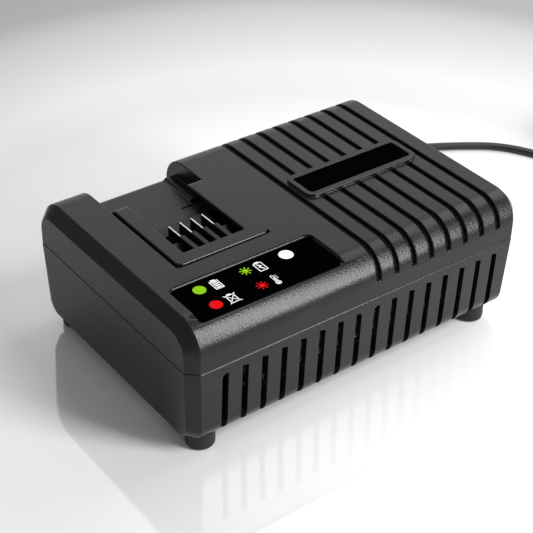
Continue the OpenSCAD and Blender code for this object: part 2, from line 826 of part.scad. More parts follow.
// Plan of the rail frame's lips: a U open to the back with round front corners
module rail_plan() {
    y0 = channel_y0 + fit_gap;
    r = rail_round;
    difference() {
        union() {
            translate([rail_x0 + r, y0]) square([rail_x1 - rail_x0 - 2 * r, rail_y1 - y0]);
            translate([rail_x0, y0 + r]) square([rail_x1 - rail_x0, rail_y1 - y0 - r]);
            for (x = [rail_x0 + r, rail_x1 - r]) translate([x, y0 + r]) circle(r);
        }
        translate([block_x0, block_y0]) square([block_x1 - block_x0, rail_l + cut_over]);
    }
}

module dock_screws() {
    color("#a9adb2") for (p = rail_screw_at) translate([p[0], p[1], block_base])
        small_screw(wall + plate_under + rail_bite);
}

// Side view of the terminal block: ramp between the ribs, pit under the blades, and table
module block_area() {
    polygon([
        [block_y0 + fit_gap, block_base], [block_y0 + fit_gap, ramp_low], [block_y0 + comb_l, ramp_high],
        [block_y0 + comb_l, pit_z], [block_y0 + comb_l + pit_l, pit_z], [block_y0 + comb_l + pit_l, block_z],
        [block_y1 - fit_gap, block_z], [block_y1 - fit_gap, block_base]
    ]);
}

// Comb that carries the blades, let into the channel's floor from below on a wide plate
module terminal_block() {
    x0 = block_x0 + fit_gap;
    x1 = block_x1 - fit_gap;
    pit_y = block_y0 + comb_l + pit_l - cut_over;
    beside = blade_t / 2 + 0.6;
    color("#242528") difference() {
        union() {
            translate([x0, 0, 0]) rotate([90, 0, 90]) linear_extrude(x1 - x0) block_area();
            block([channel_x0 + 0.5, channel_y0 + 0.5, block_base], [channel_x1 - 0.5, block_y1 + 8, tub_z]);
            for (x = blade_at) block([x - comb_w / 2, block_y0 + fit_gap, ramp_low],
                                     [x + comb_w / 2, block_y0 + comb_l, comb_top]);
        }
        for (x = [x0 - cut_over, blade_at[3] + beside]) block([x, pit_y, pit_z],
            [x + blade_at[0] - beside - x0 + cut_over, pit_y + side_pit_l, block_z + cut_over]);
        for (x = blade_at) blade_space(x, close_gap);
        for (p = concat(rail_screw_at, rail_peg_at)) translate([p[0], p[1], block_base - cut_over])
            cylinder(r = pin_r + fit_gap, h = plate_under + 2 * cut_over);
    }
}

module blade_space(x, gap) {
    block([x - blade_t / 2 - gap, blade_y0 - gap, block_base - blade_tail],
          [x + blade_t / 2 + gap, blade_y0 + blade_l + gap, blade_top]);
}

module terminal_blades() {
    color("#d9dbde") for (x = blade_at) blade_space(x, 0);
}

// Four leads from the blades' tails down to the board
module terminal_leads() {
    tail_z = block_base - blade_tail;
    for (i = [0 : 3]) {
        route = [for (f = [[0, 0], [0.6, 0.2], [1.6, 0.5], [0.6, 0.8], [0, 1]])
            [blade_at[i], blade_y0 + blade_l / 2 + f[0], mix(tail_z, board_top, f[1])]];
        color(["#b3231f", "#1d1e20", "#e0c21d", "#2a5cab"][i]) oval_tube(route, 2.2, 2.2, 8, [0, 1, 0]);
    }
}

module main_board() {
    color("#2f6b3c") difference() {
        block([board_x - board_l / 2, board_y - board_w / 2, board_z],
              [board_x + board_l / 2, board_y + board_w / 2, board_top]);
        for (p = board_holes) translate([p[0], p[1], board_z - cut_over])
            cylinder(r = pin_r + fit_gap, h = board_t + 2 * cut_over);
        block([cord_x - clamp_l / 2 - board_margin, clamp_y - clamp_w / 2 - board_margin, board_z - cut_over],
              [cord_x + clamp_l / 2 + board_margin, y_side, board_top + cut_over]);
        block([fan_x - fan_side / 2 - rail_grip - board_margin, fan_y0 - rail_grip - board_margin,
               board_z - cut_over], [x_end, y_side, board_top + cut_over]);
    }
}

module board_screws() {
    color("#a9adb2") for (p = board_holes) translate([p[0], p[1], board_top])
        mirror([0, 0, 1]) small_screw(board_t + 7);
}

// A box centred over the transformer's place, from one height to another
module over_transformer(l, w, low, high) {
    translate([transformer_at[0] - l / 2, transformer_at[1] - w / 2, low]) cube([l, w, high - low]);
}

// Two E cores closed round the winding: three legs joined by a yoke at each end
module transformer_core() {
    color("#3a3a3c") difference() {
        over_transformer(core_l, core_d, core_low, core_low + transformer_h);
        difference() {
            over_transformer(window_out, core_d + 2, window_low, window_high);
            over_transformer(core_leg, core_d + 2, window_low, window_high);
        }
    }
}

// Spool on the middle leg, with a foot on each side that stands on the board
module transformer_bobbin() {
    spool = core_leg + 2 * bobbin_t;
    color("#7a4a2a") {
        difference() {
            union() {
                over_transformer(window_out - fit_gap, core_w, window_low, window_low + bobbin_t);
                over_transformer(window_out - fit_gap, core_w, window_high - bobbin_t, window_high);
                over_transformer(spool, core_d + 2 * bobbin_t, window_low, window_high);
            }
            over_transformer(core_leg, core_d, window_low - 1, window_high + 1);
        }
        for (s = [-1, 1]) translate([0, s * (core_w / 2 - 1), 0])
            over_transformer(window_out - fit_gap, 2, board_top, window_low);
    }
}

module transformer_winding() {
    color("#d8b23a") difference() {
        over_transformer(window_out - 2, core_w - 1.5, window_low + bobbin_t, window_high - bobbin_t);
        over_transformer(core_leg + 2 * bobbin_t, core_d + 2 * bobbin_t, window_low, window_high);
    }
}

module can(r, h) {
    cylinder(r = r, h = h - 1);
    translate([0, 0, h - 1]) cylinder(r1 = r, r2 = r - 1, h = 1);
}

module bulk_capacitor() {
    color("#23262c") translate([bulk_at[0], bulk_at[1], board_top]) can(bulk_r, bulk_h);
}

module output_capacitors() {
    color("#1c3a5e") for (i = [0, 1]) translate([output_at[0], output_at[1] - i * output_step, board_top])
        can(output_r, output_h);
}

// Ring choke standing on its edge, lying flat across the board
module choke_core() {
    color("#2c5d48") translate([choke_at[0], choke_at[1], board_top + 2]) difference() {
        cylinder(r = choke_r, h = choke_t);
        translate([0, 0, -1]) cylinder(r = choke_hole, h = choke_t + 2);
    }
}

module choke_winding() {
    color("#b5652a") translate([choke_at[0], choke_at[1], board_top]) for (s = [0, 180]) rotate([0, 0, s + 25])
        rotate_extrude(angle = 130) translate([choke_hole - 2, 0]) difference() {
            square([choke_r - choke_hole + 4, choke_t + 4]);
            translate([2, 2]) square([choke_r - choke_hole, choke_t]);
        }
}

module filter_capacitor() {
    color("#c8a52c") block([filter_at[0] - filter_size[0] / 2, filter_at[1] - filter_size[1] / 2, board_top],
        [filter_at[0] + filter_size[0] / 2, filter_at[1] + filter_size[1] / 2, board_top + filter_size[2]]);
}

module fuse() {
    color("#dfe6ea") translate([fuse_at[0], fuse_at[1], board_top + fuse_r + 2]) bar_x(fuse_r, fuse_l);
}

module fuse_clips() {
    clip = fuse_r + 0.8;
    color("#c9ccd0") for (s = [-1, 1])
        translate([fuse_at[0] + s * (fuse_l / 2 - 3), fuse_at[1], board_top + fuse_r + 2]) difference() {
            translate([-2, -clip, -fuse_r - 2]) cube([4, 2 * clip, 2 * fuse_r + 2]);
            bar_x(fuse_r, fuse_l);
            translate([-3, -1.6, 0]) cube([6, 3.2, 2 * fuse_r]);
        }
}

module bridge_rectifier() {
    color("#1f2023") block([bridge_at[0] - bridge_size[0] / 2, bridge_at[1] - bridge_size[1] / 2, board_top],
        [bridge_at[0] + bridge_size[0] / 2, bridge_at[1] + bridge_size[1] / 2, board_top + bridge_size[2]]);
}

// An extruded sink: an upright plate along X with fins on one side
module heat_sink(l, h) {
    translate([-l / 2, 0, 0]) cube([l, sink_t, h]);
    for (i = [0 : 5]) translate([-l / 2 + i * (l - 1.4) / 5, sink_t, 0]) cube([1.4, 5, h]);
}

module package_on_sink() {
    translate([-package_size[0] / 2, -package_size[1], package_rise]) cube(package_size);
    for (i = [-1 : 1]) translate([i * 2.54 - 0.4, -package_size[1] / 2 - 0.3, 0])
        cube([0.8, 0.6, package_rise]);
}

module sink_screw() {
    translate([0, -package_size[1], package_rise + package_size[2] - 3]) rotate([-90, 0, 0]) {
        translate([0, 0, -head_h]) cylinder(r = sink_head_r, h = head_h);
        cylinder(r = sink_screw_r, h = package_size[1] + sink_t);
    }
}

module sink_screw_hole() {
    translate([0, -package_size[1] - 1, package_rise + package_size[2] - 3]) rotate([-90, 0, 0])
        cylinder(r = sink_screw_r + fit_gap / 2, h = package_size[1] + 2 * sink_t + cut_over);
}

module at_primary() { translate([primary_at[0], primary_at[1], board_top]) children(); }
module at_secondary() {
    translate([secondary_at[0], secondary_at[1], board_top]) rotate([0, 0, 90]) children();
}

module primary_heat_sink() {
    color("#b9bcc0") at_primary() difference() {
        heat_sink(sink_l, sink_h);
        sink_screw_hole();
    }
}

module switch_transistor() {
    color("#1f2023") at_primary() difference() {
        package_on_sink();
        sink_screw_hole();
    }
}

module secondary_heat_sink() {
    color("#b9bcc0") at_secondary() difference() {
        heat_sink(0.8 * sink_l, sink_h);
        sink_screw_hole();
    }
}

module output_rectifier() {
    color("#1f2023") at_secondary() difference() {
        package_on_sink();
        sink_screw_hole();
    }
}

module heat_sink_screws() {
    color("#a9adb2") {
        at_primary() sink_screw();
        at_secondary() sink_screw();
    }
}

// Places the fan's own frame: its axis along Y, its front at the board's side
module at_fan() { translate([fan_x, fan_y0, fan_z]) rotate([-90, 0, 0]) children(); }

module fan_frame() {
    hole_at = fan_side / 2 - fan_hole_in;
    color("#1d1e20") at_fan() difference() {
        union() {
            difference() {
                translate([-fan_side / 2, -fan_side / 2, 0]) cube([fan_side, fan_side, fan_t]);
                translate([0, 0, -1]) cylinder(r = fan_bore, h = fan_t + 2);
            }
            translate([0, 0, fan_t - strut_t]) cylinder(r = hub_r - 1, h = strut_t);
            for (a = [30 : 120 : 270]) rotate([0, 0, a]) translate([hub_r - 2, -1.5, fan_t - strut_t])
                cube([fan_bore - hub_r + 3, 3, strut_t]);
            translate([0, 0, fan_t - hub_d]) cylinder(r = boss_r, h = hub_d - strut_t / 2);
        }
        translate([0, 0, fan_t - hub_d - 1]) cylinder(r = shaft_r + close_gap, h = hub_d);
        for (a = [-1, 1]) for (b = [-1, 1]) translate([a * hole_at, b * hole_at, -1])
            cylinder(r = 2.15, h = fan_t + 2);
    }
}

module fan_stator() {
    color("#b5652a") at_fan() translate([0, 0, fan_t - hub_d + 1.5]) difference() {
        cylinder(r = hub_r - 3, h = 4.5);
        translate([0, 0, -1]) cylinder(r = boss_r + fit_gap / 2, h = 7);
    }
}

module fan_rotor() {
    cup_top = 2;
    cup_h = fan_t - strut_t - 1 - cup_top;
    color("#16171a") at_fan() {
        translate([0, 0, cup_top]) difference() {
            cylinder(r = hub_r, h = cup_h);
            translate([0, 0, 1.6]) cylinder(r = hub_r - 1.6, h = cup_h);
        }
        translate([0, 0, cup_top]) cylinder(r = shaft_r, h = fan_t - cup_top - strut_t - 0.5);
        intersection() {
            for (i = [0 : fan_blades - 1]) rotate([0, 0, i * 360 / fan_blades])
                translate([hub_r - 0.8, 0, cup_top + cup_h / 2]) rotate([38, 0, 0])
                    translate([0, -0.7, -cup_h]) cube([fan_tip - hub_r + 1.5, 1.4, 2 * cup_h]);
            translate([0, 0, cup_top]) difference() {
                cylinder(r = fan_tip, h = cup_h);
                translate([0, 0, -1]) cylinder(r = hub_r - 0.6, h = cup_h + 2);
            }
        }
    }
}

// Two-core lead from the fan down to the board
module fan_lead() {
    start = [fan_x - fan_side / 2 + 6, fan_y0, fan_z - 7];
    end = [start[0], min(board_back - 4, fan_y0 - fan_lead_out), board_top];
    route = [for (f = [[0, 0], [0.2, 0.02], [0.5, 0.15], [0.8, 0.4], [0.96, 0.7], [1, 1]])
        [start[0], mix(start[1], end[1], f[0]), mix(start[2], end[2], f[1])]];
    color("#b3231f") oval_tube(route, 2.6, 1.4, 8, [0, -1, 1]);
}

// Tapered sleeve held between the shells
module strain_relief() {
    color("#1b1c1e") translate([cord_x, 0, parting_z]) {
        translate([0, relief_inner, 0]) bar_y(relief_flange, relief_flange_t);
        translate([0, relief_inner, 0]) bar_y(relief_neck, y_side + 2 * fit_gap - relief_inner);
        translate([0, y_side + fit_gap, 0]) bar_y(relief_r, 2 * relief_collar);
        translate([0, relief_bend_y, 0]) rotate([-90 - relief_droop, 0, 0])
            cylinder(r1 = relief_r - 0.3, r2 = relief_r - 1.2, h = relief_taper_l);
    }
}

module clamp_bar_at() { translate([cord_x, clamp_y, parting_z + cord_t / 2]) children(); }

module cord_clamp() {
    color("#2a2b2e") clamp_bar_at() difference() {
        translate([-clamp_l / 2, -clamp_w / 2, 0]) cube([clamp_l, clamp_w, clamp_t]);
        for (s = [-1, 1]) translate([s * clamp_screw_gap / 2, 0, -1])
            cylinder(r = pin_r + fit_gap, h = clamp_t + 2);
    }
}

module clamp_screws() {
    color("#a9adb2") clamp_bar_at() for (s = [-1, 1]) translate([s * clamp_screw_gap / 2, 0, clamp_t])
        mirror([0, 0, 1]) small_screw(clamp_t + cord_t + 7);
}

// The lead inside the case, from the strain relief under the clamp to the board
module inlet_lead() {
    level = clamp_y - clamp_w / 2;
    end = min(board_back - 6, level - 1.5 * cord_w);
    fall = [[0, 0], [0.38, 0.03], [0.68, 0.13], [0.86, 0.3], [0.95, 0.5], [0.99, 0.75], [1, 1]];
    route = concat([[cord_x, relief_inner, parting_z], [cord_x, clamp_y, parting_z]],
        [for (f = fall) [cord_x, mix(level, end, f[0]), mix(parting_z, board_top, f[1])]]);
    color("#1b1c1e") oval_tube(route, cord_w, cord_t, 10, [0, -1, 1]);
}

module mains_cord() {
    points = concat([relief_tip], [for (i = [1 : len(cord_route) - 1]) cord_route[i]]);
    color("#1b1c1e") oval_tube(points, cord_w, cord_t);
}

module cord_coil() {
    color("#1b1c1e") translate([coil_at[0], coil_at[1], tie_t]) rotate_extrude($fn = 72)
        translate([coil_in, 0]) square([coil_out - coil_in, coil_h]);
}

// Strap round the turns of the coil
module coil_tie() {
    color("#303236") translate([coil_at[0], coil_at[1], 0]) rotate([0, 0, 135]) difference() {
        block([coil_in - 1.2, -tie_w / 2, 0], [coil_out + 1.2, tie_w / 2, coil_top + tie_t]);
        translate([0, 0, tie_t]) rotate_extrude($fn = 72)
            translate([coil_in, 0]) square([coil_out - coil_in, coil_h]);
    }
}

module cord_tail() {
    color("#1b1c1e") oval_tube(tail_route, cord_w, cord_t);
}

module plug_body() {
    color("#1b1c1e") translate([plug_at[0], plug_at[1], coil_top]) rounded_plate(plug_l, plug_w, 3, plug_t);
}

module plug_pins() {
    color("#c9ccd0") for (s = [-1, 1])
        translate([plug_at[0] + plug_l / 2, plug_at[1] + s * pin_gap / 2, coil_top + plug_t / 2])
            rotate([0, 90, 0]) cylinder(r = 2, h = pin_l);
}

bottom_housing();
top_housing();
rubber_feet();
case_screws();
dock_frame();
dock_screws();
terminal_block();
terminal_blades();
panel_label();
name_label();
light_pipe();
led_board();
led_board_screws();
status_led();
led_lead();
main_board();
board_screws();
transformer_core();
transformer_bobbin();
transformer_winding();
bulk_capacitor();
output_capacitors();
choke_core();
choke_winding();
filter_capacitor();
fuse();
fuse_clips();
bridge_rectifier();
primary_heat_sink();
switch_transistor();
secondary_heat_sink();
output_rectifier();
heat_sink_screws();
fan_frame();
fan_stator();
fan_rotor();
fan_lead();
terminal_leads();
strain_relief();
cord_clamp();
clamp_screws();
inlet_lead();
mains_cord();
cord_coil();
coil_tie();
cord_tail();
plug_body();
plug_pins();
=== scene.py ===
"""Dresses a charger for slide-on tool packs: its shells, dock, lamp panel, mains lead and inner parts.

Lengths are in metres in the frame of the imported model: +X runs along the case from the dock end to
the grooved end, +Y to the back, where the lead leaves, and +Z up. The classes of the charger's own
pieces give their sizes in millimetres, which are scaled once, where a mesh is made.
"""

import logging
import math
from dataclasses import dataclass
from enum import Enum, IntEnum
from typing import Callable, Optional, Sequence

import bmesh
import bpy
import numpy as np
from mathutils import Matrix, Vector


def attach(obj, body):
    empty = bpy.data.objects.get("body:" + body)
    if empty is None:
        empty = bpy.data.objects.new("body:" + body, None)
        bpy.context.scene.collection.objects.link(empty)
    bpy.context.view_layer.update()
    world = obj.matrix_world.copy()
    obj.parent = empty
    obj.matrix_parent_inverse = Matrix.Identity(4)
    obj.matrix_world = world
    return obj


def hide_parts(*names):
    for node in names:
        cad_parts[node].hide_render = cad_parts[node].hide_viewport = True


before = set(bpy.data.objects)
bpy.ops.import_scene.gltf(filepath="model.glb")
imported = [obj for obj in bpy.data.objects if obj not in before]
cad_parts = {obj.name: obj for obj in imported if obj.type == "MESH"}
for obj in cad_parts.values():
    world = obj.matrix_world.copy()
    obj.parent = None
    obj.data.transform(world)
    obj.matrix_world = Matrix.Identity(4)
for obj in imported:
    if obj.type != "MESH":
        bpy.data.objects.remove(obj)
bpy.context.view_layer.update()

MM = 0.001
# Points nearer than this, in metres, are one point
MERGE = 2e-6
# Faces that meet flatter than this, in degrees, are one face
FLAT = 0.1
# An edge of a copied node is sharp from this angle, in degrees
SHARP = 30
log = logging.getLogger("charger")
Pair = tuple[float, float]
Triple = tuple[float, float, float]
Tone = tuple[int, int, int]
Piece = bpy.types.Object

# Route of the lead from the strain relief over the floor to the coil, in metres
CORD_EXIT = (0.0235, 0.0923, 0.0402)
CORD_ROUTE = (
    CORD_EXIT, (0.0235, 0.0982, 0.0372), (0.0239, 0.1039, 0.0331), (0.0253, 0.1092, 0.0279),
    (0.028, 0.1138, 0.0222), (0.032, 0.1179, 0.0164), (0.0375, 0.1212, 0.011), (0.0445, 0.1236, 0.0066),
    (0.0528, 0.1248, 0.0036), (0.062, 0.1246, 0.0022), (0.072, 0.1234, 0.0018), (0.084, 0.1214, 0.0018),
    (0.098, 0.118, 0.0018), (0.112, 0.114, 0.0018), (0.126, 0.1093, 0.0018), (0.14, 0.104, 0.0018),
    (0.154, 0.0984, 0.0018), (0.168, 0.0919, 0.0018), (0.182, 0.0845, 0.0018), (0.194, 0.0775, 0.0018),
    (0.204, 0.071, 0.0018), (0.213, 0.0645, 0.0018), (0.22, 0.0575, 0.0018), (0.226, 0.049, 0.0018),
    (0.231, 0.0395, 0.0018), (0.2355, 0.029, 0.0018), (0.24, 0.018, 0.0018), (0.244, 0.008, 0.0019),
)
CORD_WIDTH = 0.0058
CORD_THICKNESS = 0.0034


class Body(Enum):
    """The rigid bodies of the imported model."""

    CASE = "case"
    ROTOR = "rotor"


class Slot(Enum):
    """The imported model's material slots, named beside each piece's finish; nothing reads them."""

    BLADE_METAL = "blade_metal"
    BOARD = "board"
    CAN_SLEEVE = "can_sleeve"
    CAN_SLEEVE_BLUE = "can_sleeve_blue"
    CASE_PLASTIC = "case_plastic"
    CHIP_PLASTIC = "chip_plastic"
    CORD_SHEATH = "cord_sheath"
    FAN_PLASTIC = "fan_plastic"
    FERRITE = "ferrite"
    FILM_BOX = "film_box"
    FOOT_RUBBER = "foot_rubber"
    FUSE_GLASS = "fuse_glass"
    LABEL_GLOSS = "label_gloss"
    LAMP_BODY = "lamp_body"
    LENS = "lens"
    RAIL_PLASTIC = "rail_plastic"
    SCREW_STEEL = "screw_steel"
    SINK_METAL = "sink_metal"
    SPOOL = "spool"
    TERMINAL_PLASTIC = "terminal_plastic"
    WINDING = "winding"
    WIRE = "wire"


class Axis(IntEnum):
    """The axes of the frame, with the numbers that a point's coordinates have."""

    X = 0
    Y = 1
    Z = 2


def show(thing: Piece) -> None:
    """Puts an object into the scene."""
    bpy.context.scene.collection.objects.link(thing)


def unit(runs: np.ndarray) -> np.ndarray:
    """Vectors made one long."""
    return runs / np.linalg.norm(runs, axis=1, keepdims=True)


# ---------------------------------------------------------------- view and light


@dataclass(frozen=True)
class Viewpoint:
    """The camera: where it stands and how it is turned, in degrees, with its lens in millimetres."""

    place: Triple = (-0.3595, -0.4648, 0.4401)
    azimuth: float = -37.108
    elevation: float = 34.828
    roll: float = 1.149
    lens: float = 94.69
    sensor: float = 36.0
    clip: Pair = (0.01, 50.0)

    def turn(self) -> Matrix:
        """The camera's rotation, from its azimuth and elevation, rolled about its own axis.

        Returns:
            The rotation, whose columns are the camera's right, up and backward directions.
        """
        a, e, r = (math.radians(x) for x in (self.azimuth, self.elevation, self.roll))
        back = Vector((math.sin(a) * math.cos(e), -math.cos(a) * math.cos(e), math.sin(e)))
        level = (-back).cross(Vector((0, 0, 1))).normalized()
        upright = level.cross(-back)
        right = level * math.cos(r) + upright * math.sin(r)
        up = upright * math.cos(r) - level * math.sin(r)
        return Matrix((right, up, back)).transposed()

    def build(self) -> None:
        """Makes the camera and gives it to the scene."""
        data = bpy.data.cameras.new("camera")
        data.sensor_width, data.lens = self.sensor, self.lens
        data.clip_start, data.clip_end = self.clip
        camera = bpy.data.objects.new("camera", data)
        camera.matrix_world = Matrix.Translation(self.place) @ self.turn().to_4x4()
        show(camera)
        bpy.context.scene.camera = camera


@dataclass(frozen=True)
class Softbox:
    """A rectangular lamp, with its place, aim and size in metres and its power in watts."""

    name: str
    place: Triple
    aim: Triple
    width: float
    depth: float
    power: float

    def build(self) -> None:
        """Makes the lamp and turns it to its aim."""
        data = bpy.data.lights.new(self.name, "AREA")
        data.shape = "RECTANGLE"
        data.size, data.size_y, data.energy = self.width, self.depth, self.power
        lamp = bpy.data.objects.new(self.name, data)
        lamp.visible_camera = False
        to = Vector(self.aim) - Vector(self.place)
        turn = to.to_track_quat("-Z", "Y").to_matrix().to_4x4()
        lamp.matrix_world = Matrix.Translation(self.place) @ turn
        show(lamp)


# ---------------------------------------------------------------- shader maths


def sign(operation: str, flip: bool = False) -> "Callable[..., Value]":
    """A method of Value for one of Python's arithmetic signs.

    Args:
        operation: The Math node's operation.
        flip: True where the value itself is the second input.

    Returns:
        The method.
    """

    def method(value: "Value", *others: "Value | float") -> "Value":
        """The result of a new Math node."""
        return value.math(operation, *others, flip=flip)

    return method


class Value:
    """A socket that takes Python's arithmetic signs; each sign adds one Math node."""

    __add__ = __radd__ = sign("ADD")
    __mul__ = __rmul__ = sign("MULTIPLY")
    __sub__, __rsub__ = sign("SUBTRACT"), sign("SUBTRACT", flip=True)
    __truediv__, __rtruediv__ = sign("DIVIDE"), sign("DIVIDE", flip=True)
    __pow__, __rpow__ = sign("POWER"), sign("POWER", flip=True)
    __gt__, __lt__, __abs__ = sign("GREATER_THAN"), sign("LESS_THAN"), sign("ABSOLUTE")

    def __init__(self, tree: bpy.types.NodeTree, socket: bpy.types.NodeSocket) -> None:
        """Holds the socket and the tree that it is in."""
        self.tree, self.socket = tree, socket

    def math(self, operation: str, *others: "Value | float", flip: bool = False) -> "Value":
        """Adds a Math node over this value and others.

        Args:
            operation: The node's operation.
            others: What follows this value in the node's inputs.
            flip: Whether the inputs are filled in the reverse order.

        Returns:
            The node's result.
        """
        node = self.tree.nodes.new("ShaderNodeMath")
        node.operation = operation
        inputs = [self, *others]
        for into, given in zip(node.inputs, reversed(inputs) if flip else inputs):
            fill(self.tree, into, given)
        return Value(self.tree, node.outputs[0])

    def ramp(self, low: float, high: float) -> "Value":
        """Adds a Map Range node: 0 up to low, 1 from high, and a straight line between.

        Args:
            low: The value below which the result is 0.
            high: The value above which the result is 1.

        Returns:
            The node's result.
        """
        node = self.tree.nodes.new("ShaderNodeMapRange")
        node.clamp = True
        self.tree.links.new(self.socket, node.inputs["Value"])
        node.inputs["From Min"].default_value, node.inputs["From Max"].default_value = low, high
        return Value(self.tree, node.outputs["Result"])


def fill(tree: bpy.types.NodeTree, into: bpy.types.NodeSocket, given: Value | float | tuple) -> None:
    """Links a Value into a socket, or sets the socket to a number or a colour.

    Args:
        tree: The node tree.
        into: The socket.
        given: What it gets.
    """
    if isinstance(given, Value):
        tree.links.new(given.socket, into)
    else:
        into.default_value = given


def linear(tone: Tone | int) -> tuple[float, ...]:
    """The linear colour that a shader takes for a screen colour, by the sRGB curve.

    Args:
        tone: Red, green and blue from 0 to 255, or one number for a grey.

    Returns:
        The linear colour, opaque.
    """
    whole = (tone,) * 3 if isinstance(tone, int) else tone
    parts = [c / 255 for c in whole]
    return (*[c / 12.92 if c <= 0.04045 else ((c + 0.055) / 1.055) ** 2.4 for c in parts], 1.0)


def shaded(tone: Tone, share: float) -> tuple[int, ...]:
    """A screen colour at a share of its brightness."""
    return tuple(int(c * share) for c in tone)


class Recipe:
    """One material's node tree, with the Principled shader that it ends in."""

    def __init__(self, name: str, **constants: float | tuple) -> None:
        """Starts a material.

        Args:
            name: The material's name.
            constants: The Principled shader's own values, with _ for a space in the socket's name.
        """
        self.material = bpy.data.materials.new(name)
        self.material.use_nodes = True
        self.tree = self.material.node_tree
        self.shader = self.tree.nodes["Principled BSDF"]
        for key, value in constants.items():
            self.shader.inputs[key.replace("_", " ")].default_value = value

    def node(self, kind: str, settings: Optional[dict] = None, out: int | str = 0,
             **inputs: Value | float | tuple) -> Value:
        """Adds any node.

        Args:
            kind: The node's type without its ShaderNode in front.
            settings: Attributes that are set before its sockets; "stops" is a ramp's list of stops.
            out: The output that is wanted.
            inputs: Values or links of its sockets, with _ for a space; i0, i1 name them by number.

        Returns:
            The wanted output.
        """
        node = self.tree.nodes.new("ShaderNode" + kind)
        for key, value in (settings or {}).items():
            if key == "stops":
                ramp = node.color_ramp
                while len(ramp.elements) < len(value):
                    ramp.elements.new(0.5)
                for element, (at, tone) in zip(ramp.elements, value):
                    element.position, element.color = at, tone
            else:
                setattr(node, key, value)
        for key, value in inputs.items():
            number = key[0] == "i" and key[1:].isdigit()
            into = node.inputs[int(key[1:]) if number else key.replace("_", " ")]
            fill(self.tree, into, value)
        return Value(self.tree, node.outputs[out])

    def place(self) -> Value:
        """The point on the surface in the object's own coordinates, in metres."""
        return self.node("TexCoord", out="Object")

    def axis(self, which: Axis) -> Value:
        """One coordinate of the point on the surface, in metres."""
        return self.node("SeparateXYZ", i0=self.place(), out=which)

    def noise(self, scale: float, detail: float = 2.0, rough: float = 0.5,
              where: Optional[Value] = None) -> Value:
        """Cloud noise from 0 to 1, with scale in cells per metre."""
        return self.node("TexNoise", Vector=where or self.place(), Scale=scale, Detail=detail,
                         Roughness=rough)

    def cells(self, scale: float) -> Value:
        """Distance from the middle of the nearest cell, with scale in cells per metre."""
        return self.node("TexVoronoi", {"feature": "F1"}, Vector=self.place(), Scale=scale, out="Distance")

    def blend(self, share: Value | float, first: Value | tuple, second: Value | tuple) -> Value:
        """A colour between two, by share."""
        return self.node("Mix", {"data_type": "RGBA"}, i0=share, i6=first, i7=second, out=2)

    def bump(self, height: Value, strength: float, distance: float) -> Value:
        """A normal that leans with the height, whose full range stands for distance in metres."""
        return self.node("Bump", Height=height, Strength=strength, Distance=distance, out="Normal")

    def feed(self, **links: Value) -> bpy.types.Material:
        """Links values into the Principled shader.

        Args:
            links: Values by their socket's name, with _ for a space in it.

        Returns:
            The finished material.
        """
        for key, value in links.items():
            fill(self.tree, self.shader.inputs[key.replace("_", " ")], value)
        return self.material


# ---------------------------------------------------------------- finishes


@dataclass(frozen=True)
class MouldedPlastic:
    """Moulded plastic with an eroded grain, pale rubbed spots and a few fine scratches.

    The tone is a grey from 0 to 255, the grain the width of a pit and the depth its depth in metres,
    the wear how strongly the spots and scratches show, and the shine the specular level.
    """

    name: str
    tone: int = 21
    roughness: float = 0.25
    grain: float = 0.0011
    depth: float = 0.00009
    wear: float = 0.45
    shine: float = 0.29

    def material(self) -> bpy.types.Material:
        """Makes the plastic: pits under fine noise for the grain, broad noise for its tone and gloss.

        The grain is Voronoi distance plus cloud noise. A scratch is where noise that is stretched
        nine times along a slanting line passes a high level.

        Returns:
            The material.
        """
        r = Recipe(self.name, Specular_IOR_Level=self.shine, IOR=1.5)
        fine = r.noise(1 / self.grain, detail=3, rough=0.65)
        pits = r.cells(1.1 / self.grain)
        broad = r.noise(34, detail=3)
        specks = r.noise(1300, detail=1).ramp(0.73, 0.79)
        drawn = r.node("Mapping", Vector=r.place(), Rotation=(0.5, 0.9, 0.6), Scale=(260.0, 2300.0, 2300.0))
        scratch = r.noise(1.0, detail=2, where=drawn).ramp(0.74, 0.8) * broad.ramp(0.5, 0.62)
        base = r.blend(broad.ramp(0.3, 0.7), linear(self.tone - 3), linear(self.tone + 3))
        base = r.blend((specks * 0.22 + scratch * 0.3) * self.wear, base, linear(min(255, self.tone + 80)))
        rough = self.roughness + (fine - 0.5) * 0.25 + (broad - 0.5) * 0.1 + scratch * 0.1
        height = fine * 0.8 + pits * 0.4
        return r.feed(Base_Color=base, Roughness=rough, Normal=r.bump(height, 1.0, self.depth))


@dataclass(frozen=True)
class Metal:
    """Sheet or turned metal, plated, with fine scratches along one axis."""

    name: str
    tone: Tone
    roughness: float
    along: Axis = Axis.Z
    # Height in metres below which the metal is painted dark as painted shade, and the painted tone there
    painted_dark_below: float = 0.0
    painted_shade_tone: int = 70

    def material(self) -> bpy.types.Material:
        """Makes the metal: stretched noise for its scratches, and painted shade below a height, where the
        metal is painted dark.

        Returns:
            The material.
        """
        r = Recipe(self.name, Metallic=1.0)
        scale = [2600.0] * 3
        scale[self.along] = 90.0
        stretched = r.node("Mapping", Vector=r.place(), Scale=tuple(scale))
        lines = r.noise(1.0, detail=3, where=stretched)
        dull = r.noise(260, detail=2)
        base = r.blend(dull.ramp(0.35, 0.75), linear(self.tone), linear(shaded(self.tone, 0.8)))
        # Painted shade: below this height the metal is painted dark, in place of the dark that the blades'
        # sides reflect
        if self.painted_dark_below:
            painted_shade_mask = r.axis(Axis.Z).ramp(self.painted_dark_below - 0.0001, self.painted_dark_below)
            base = r.blend(painted_shade_mask, linear(self.painted_shade_tone), base)
        rough = self.roughness + (lines - 0.5) * 0.16 + (dull - 0.5) * 0.12
        return r.feed(Base_Color=base, Roughness=rough, Normal=r.bump(lines, 0.5, 0.00001))


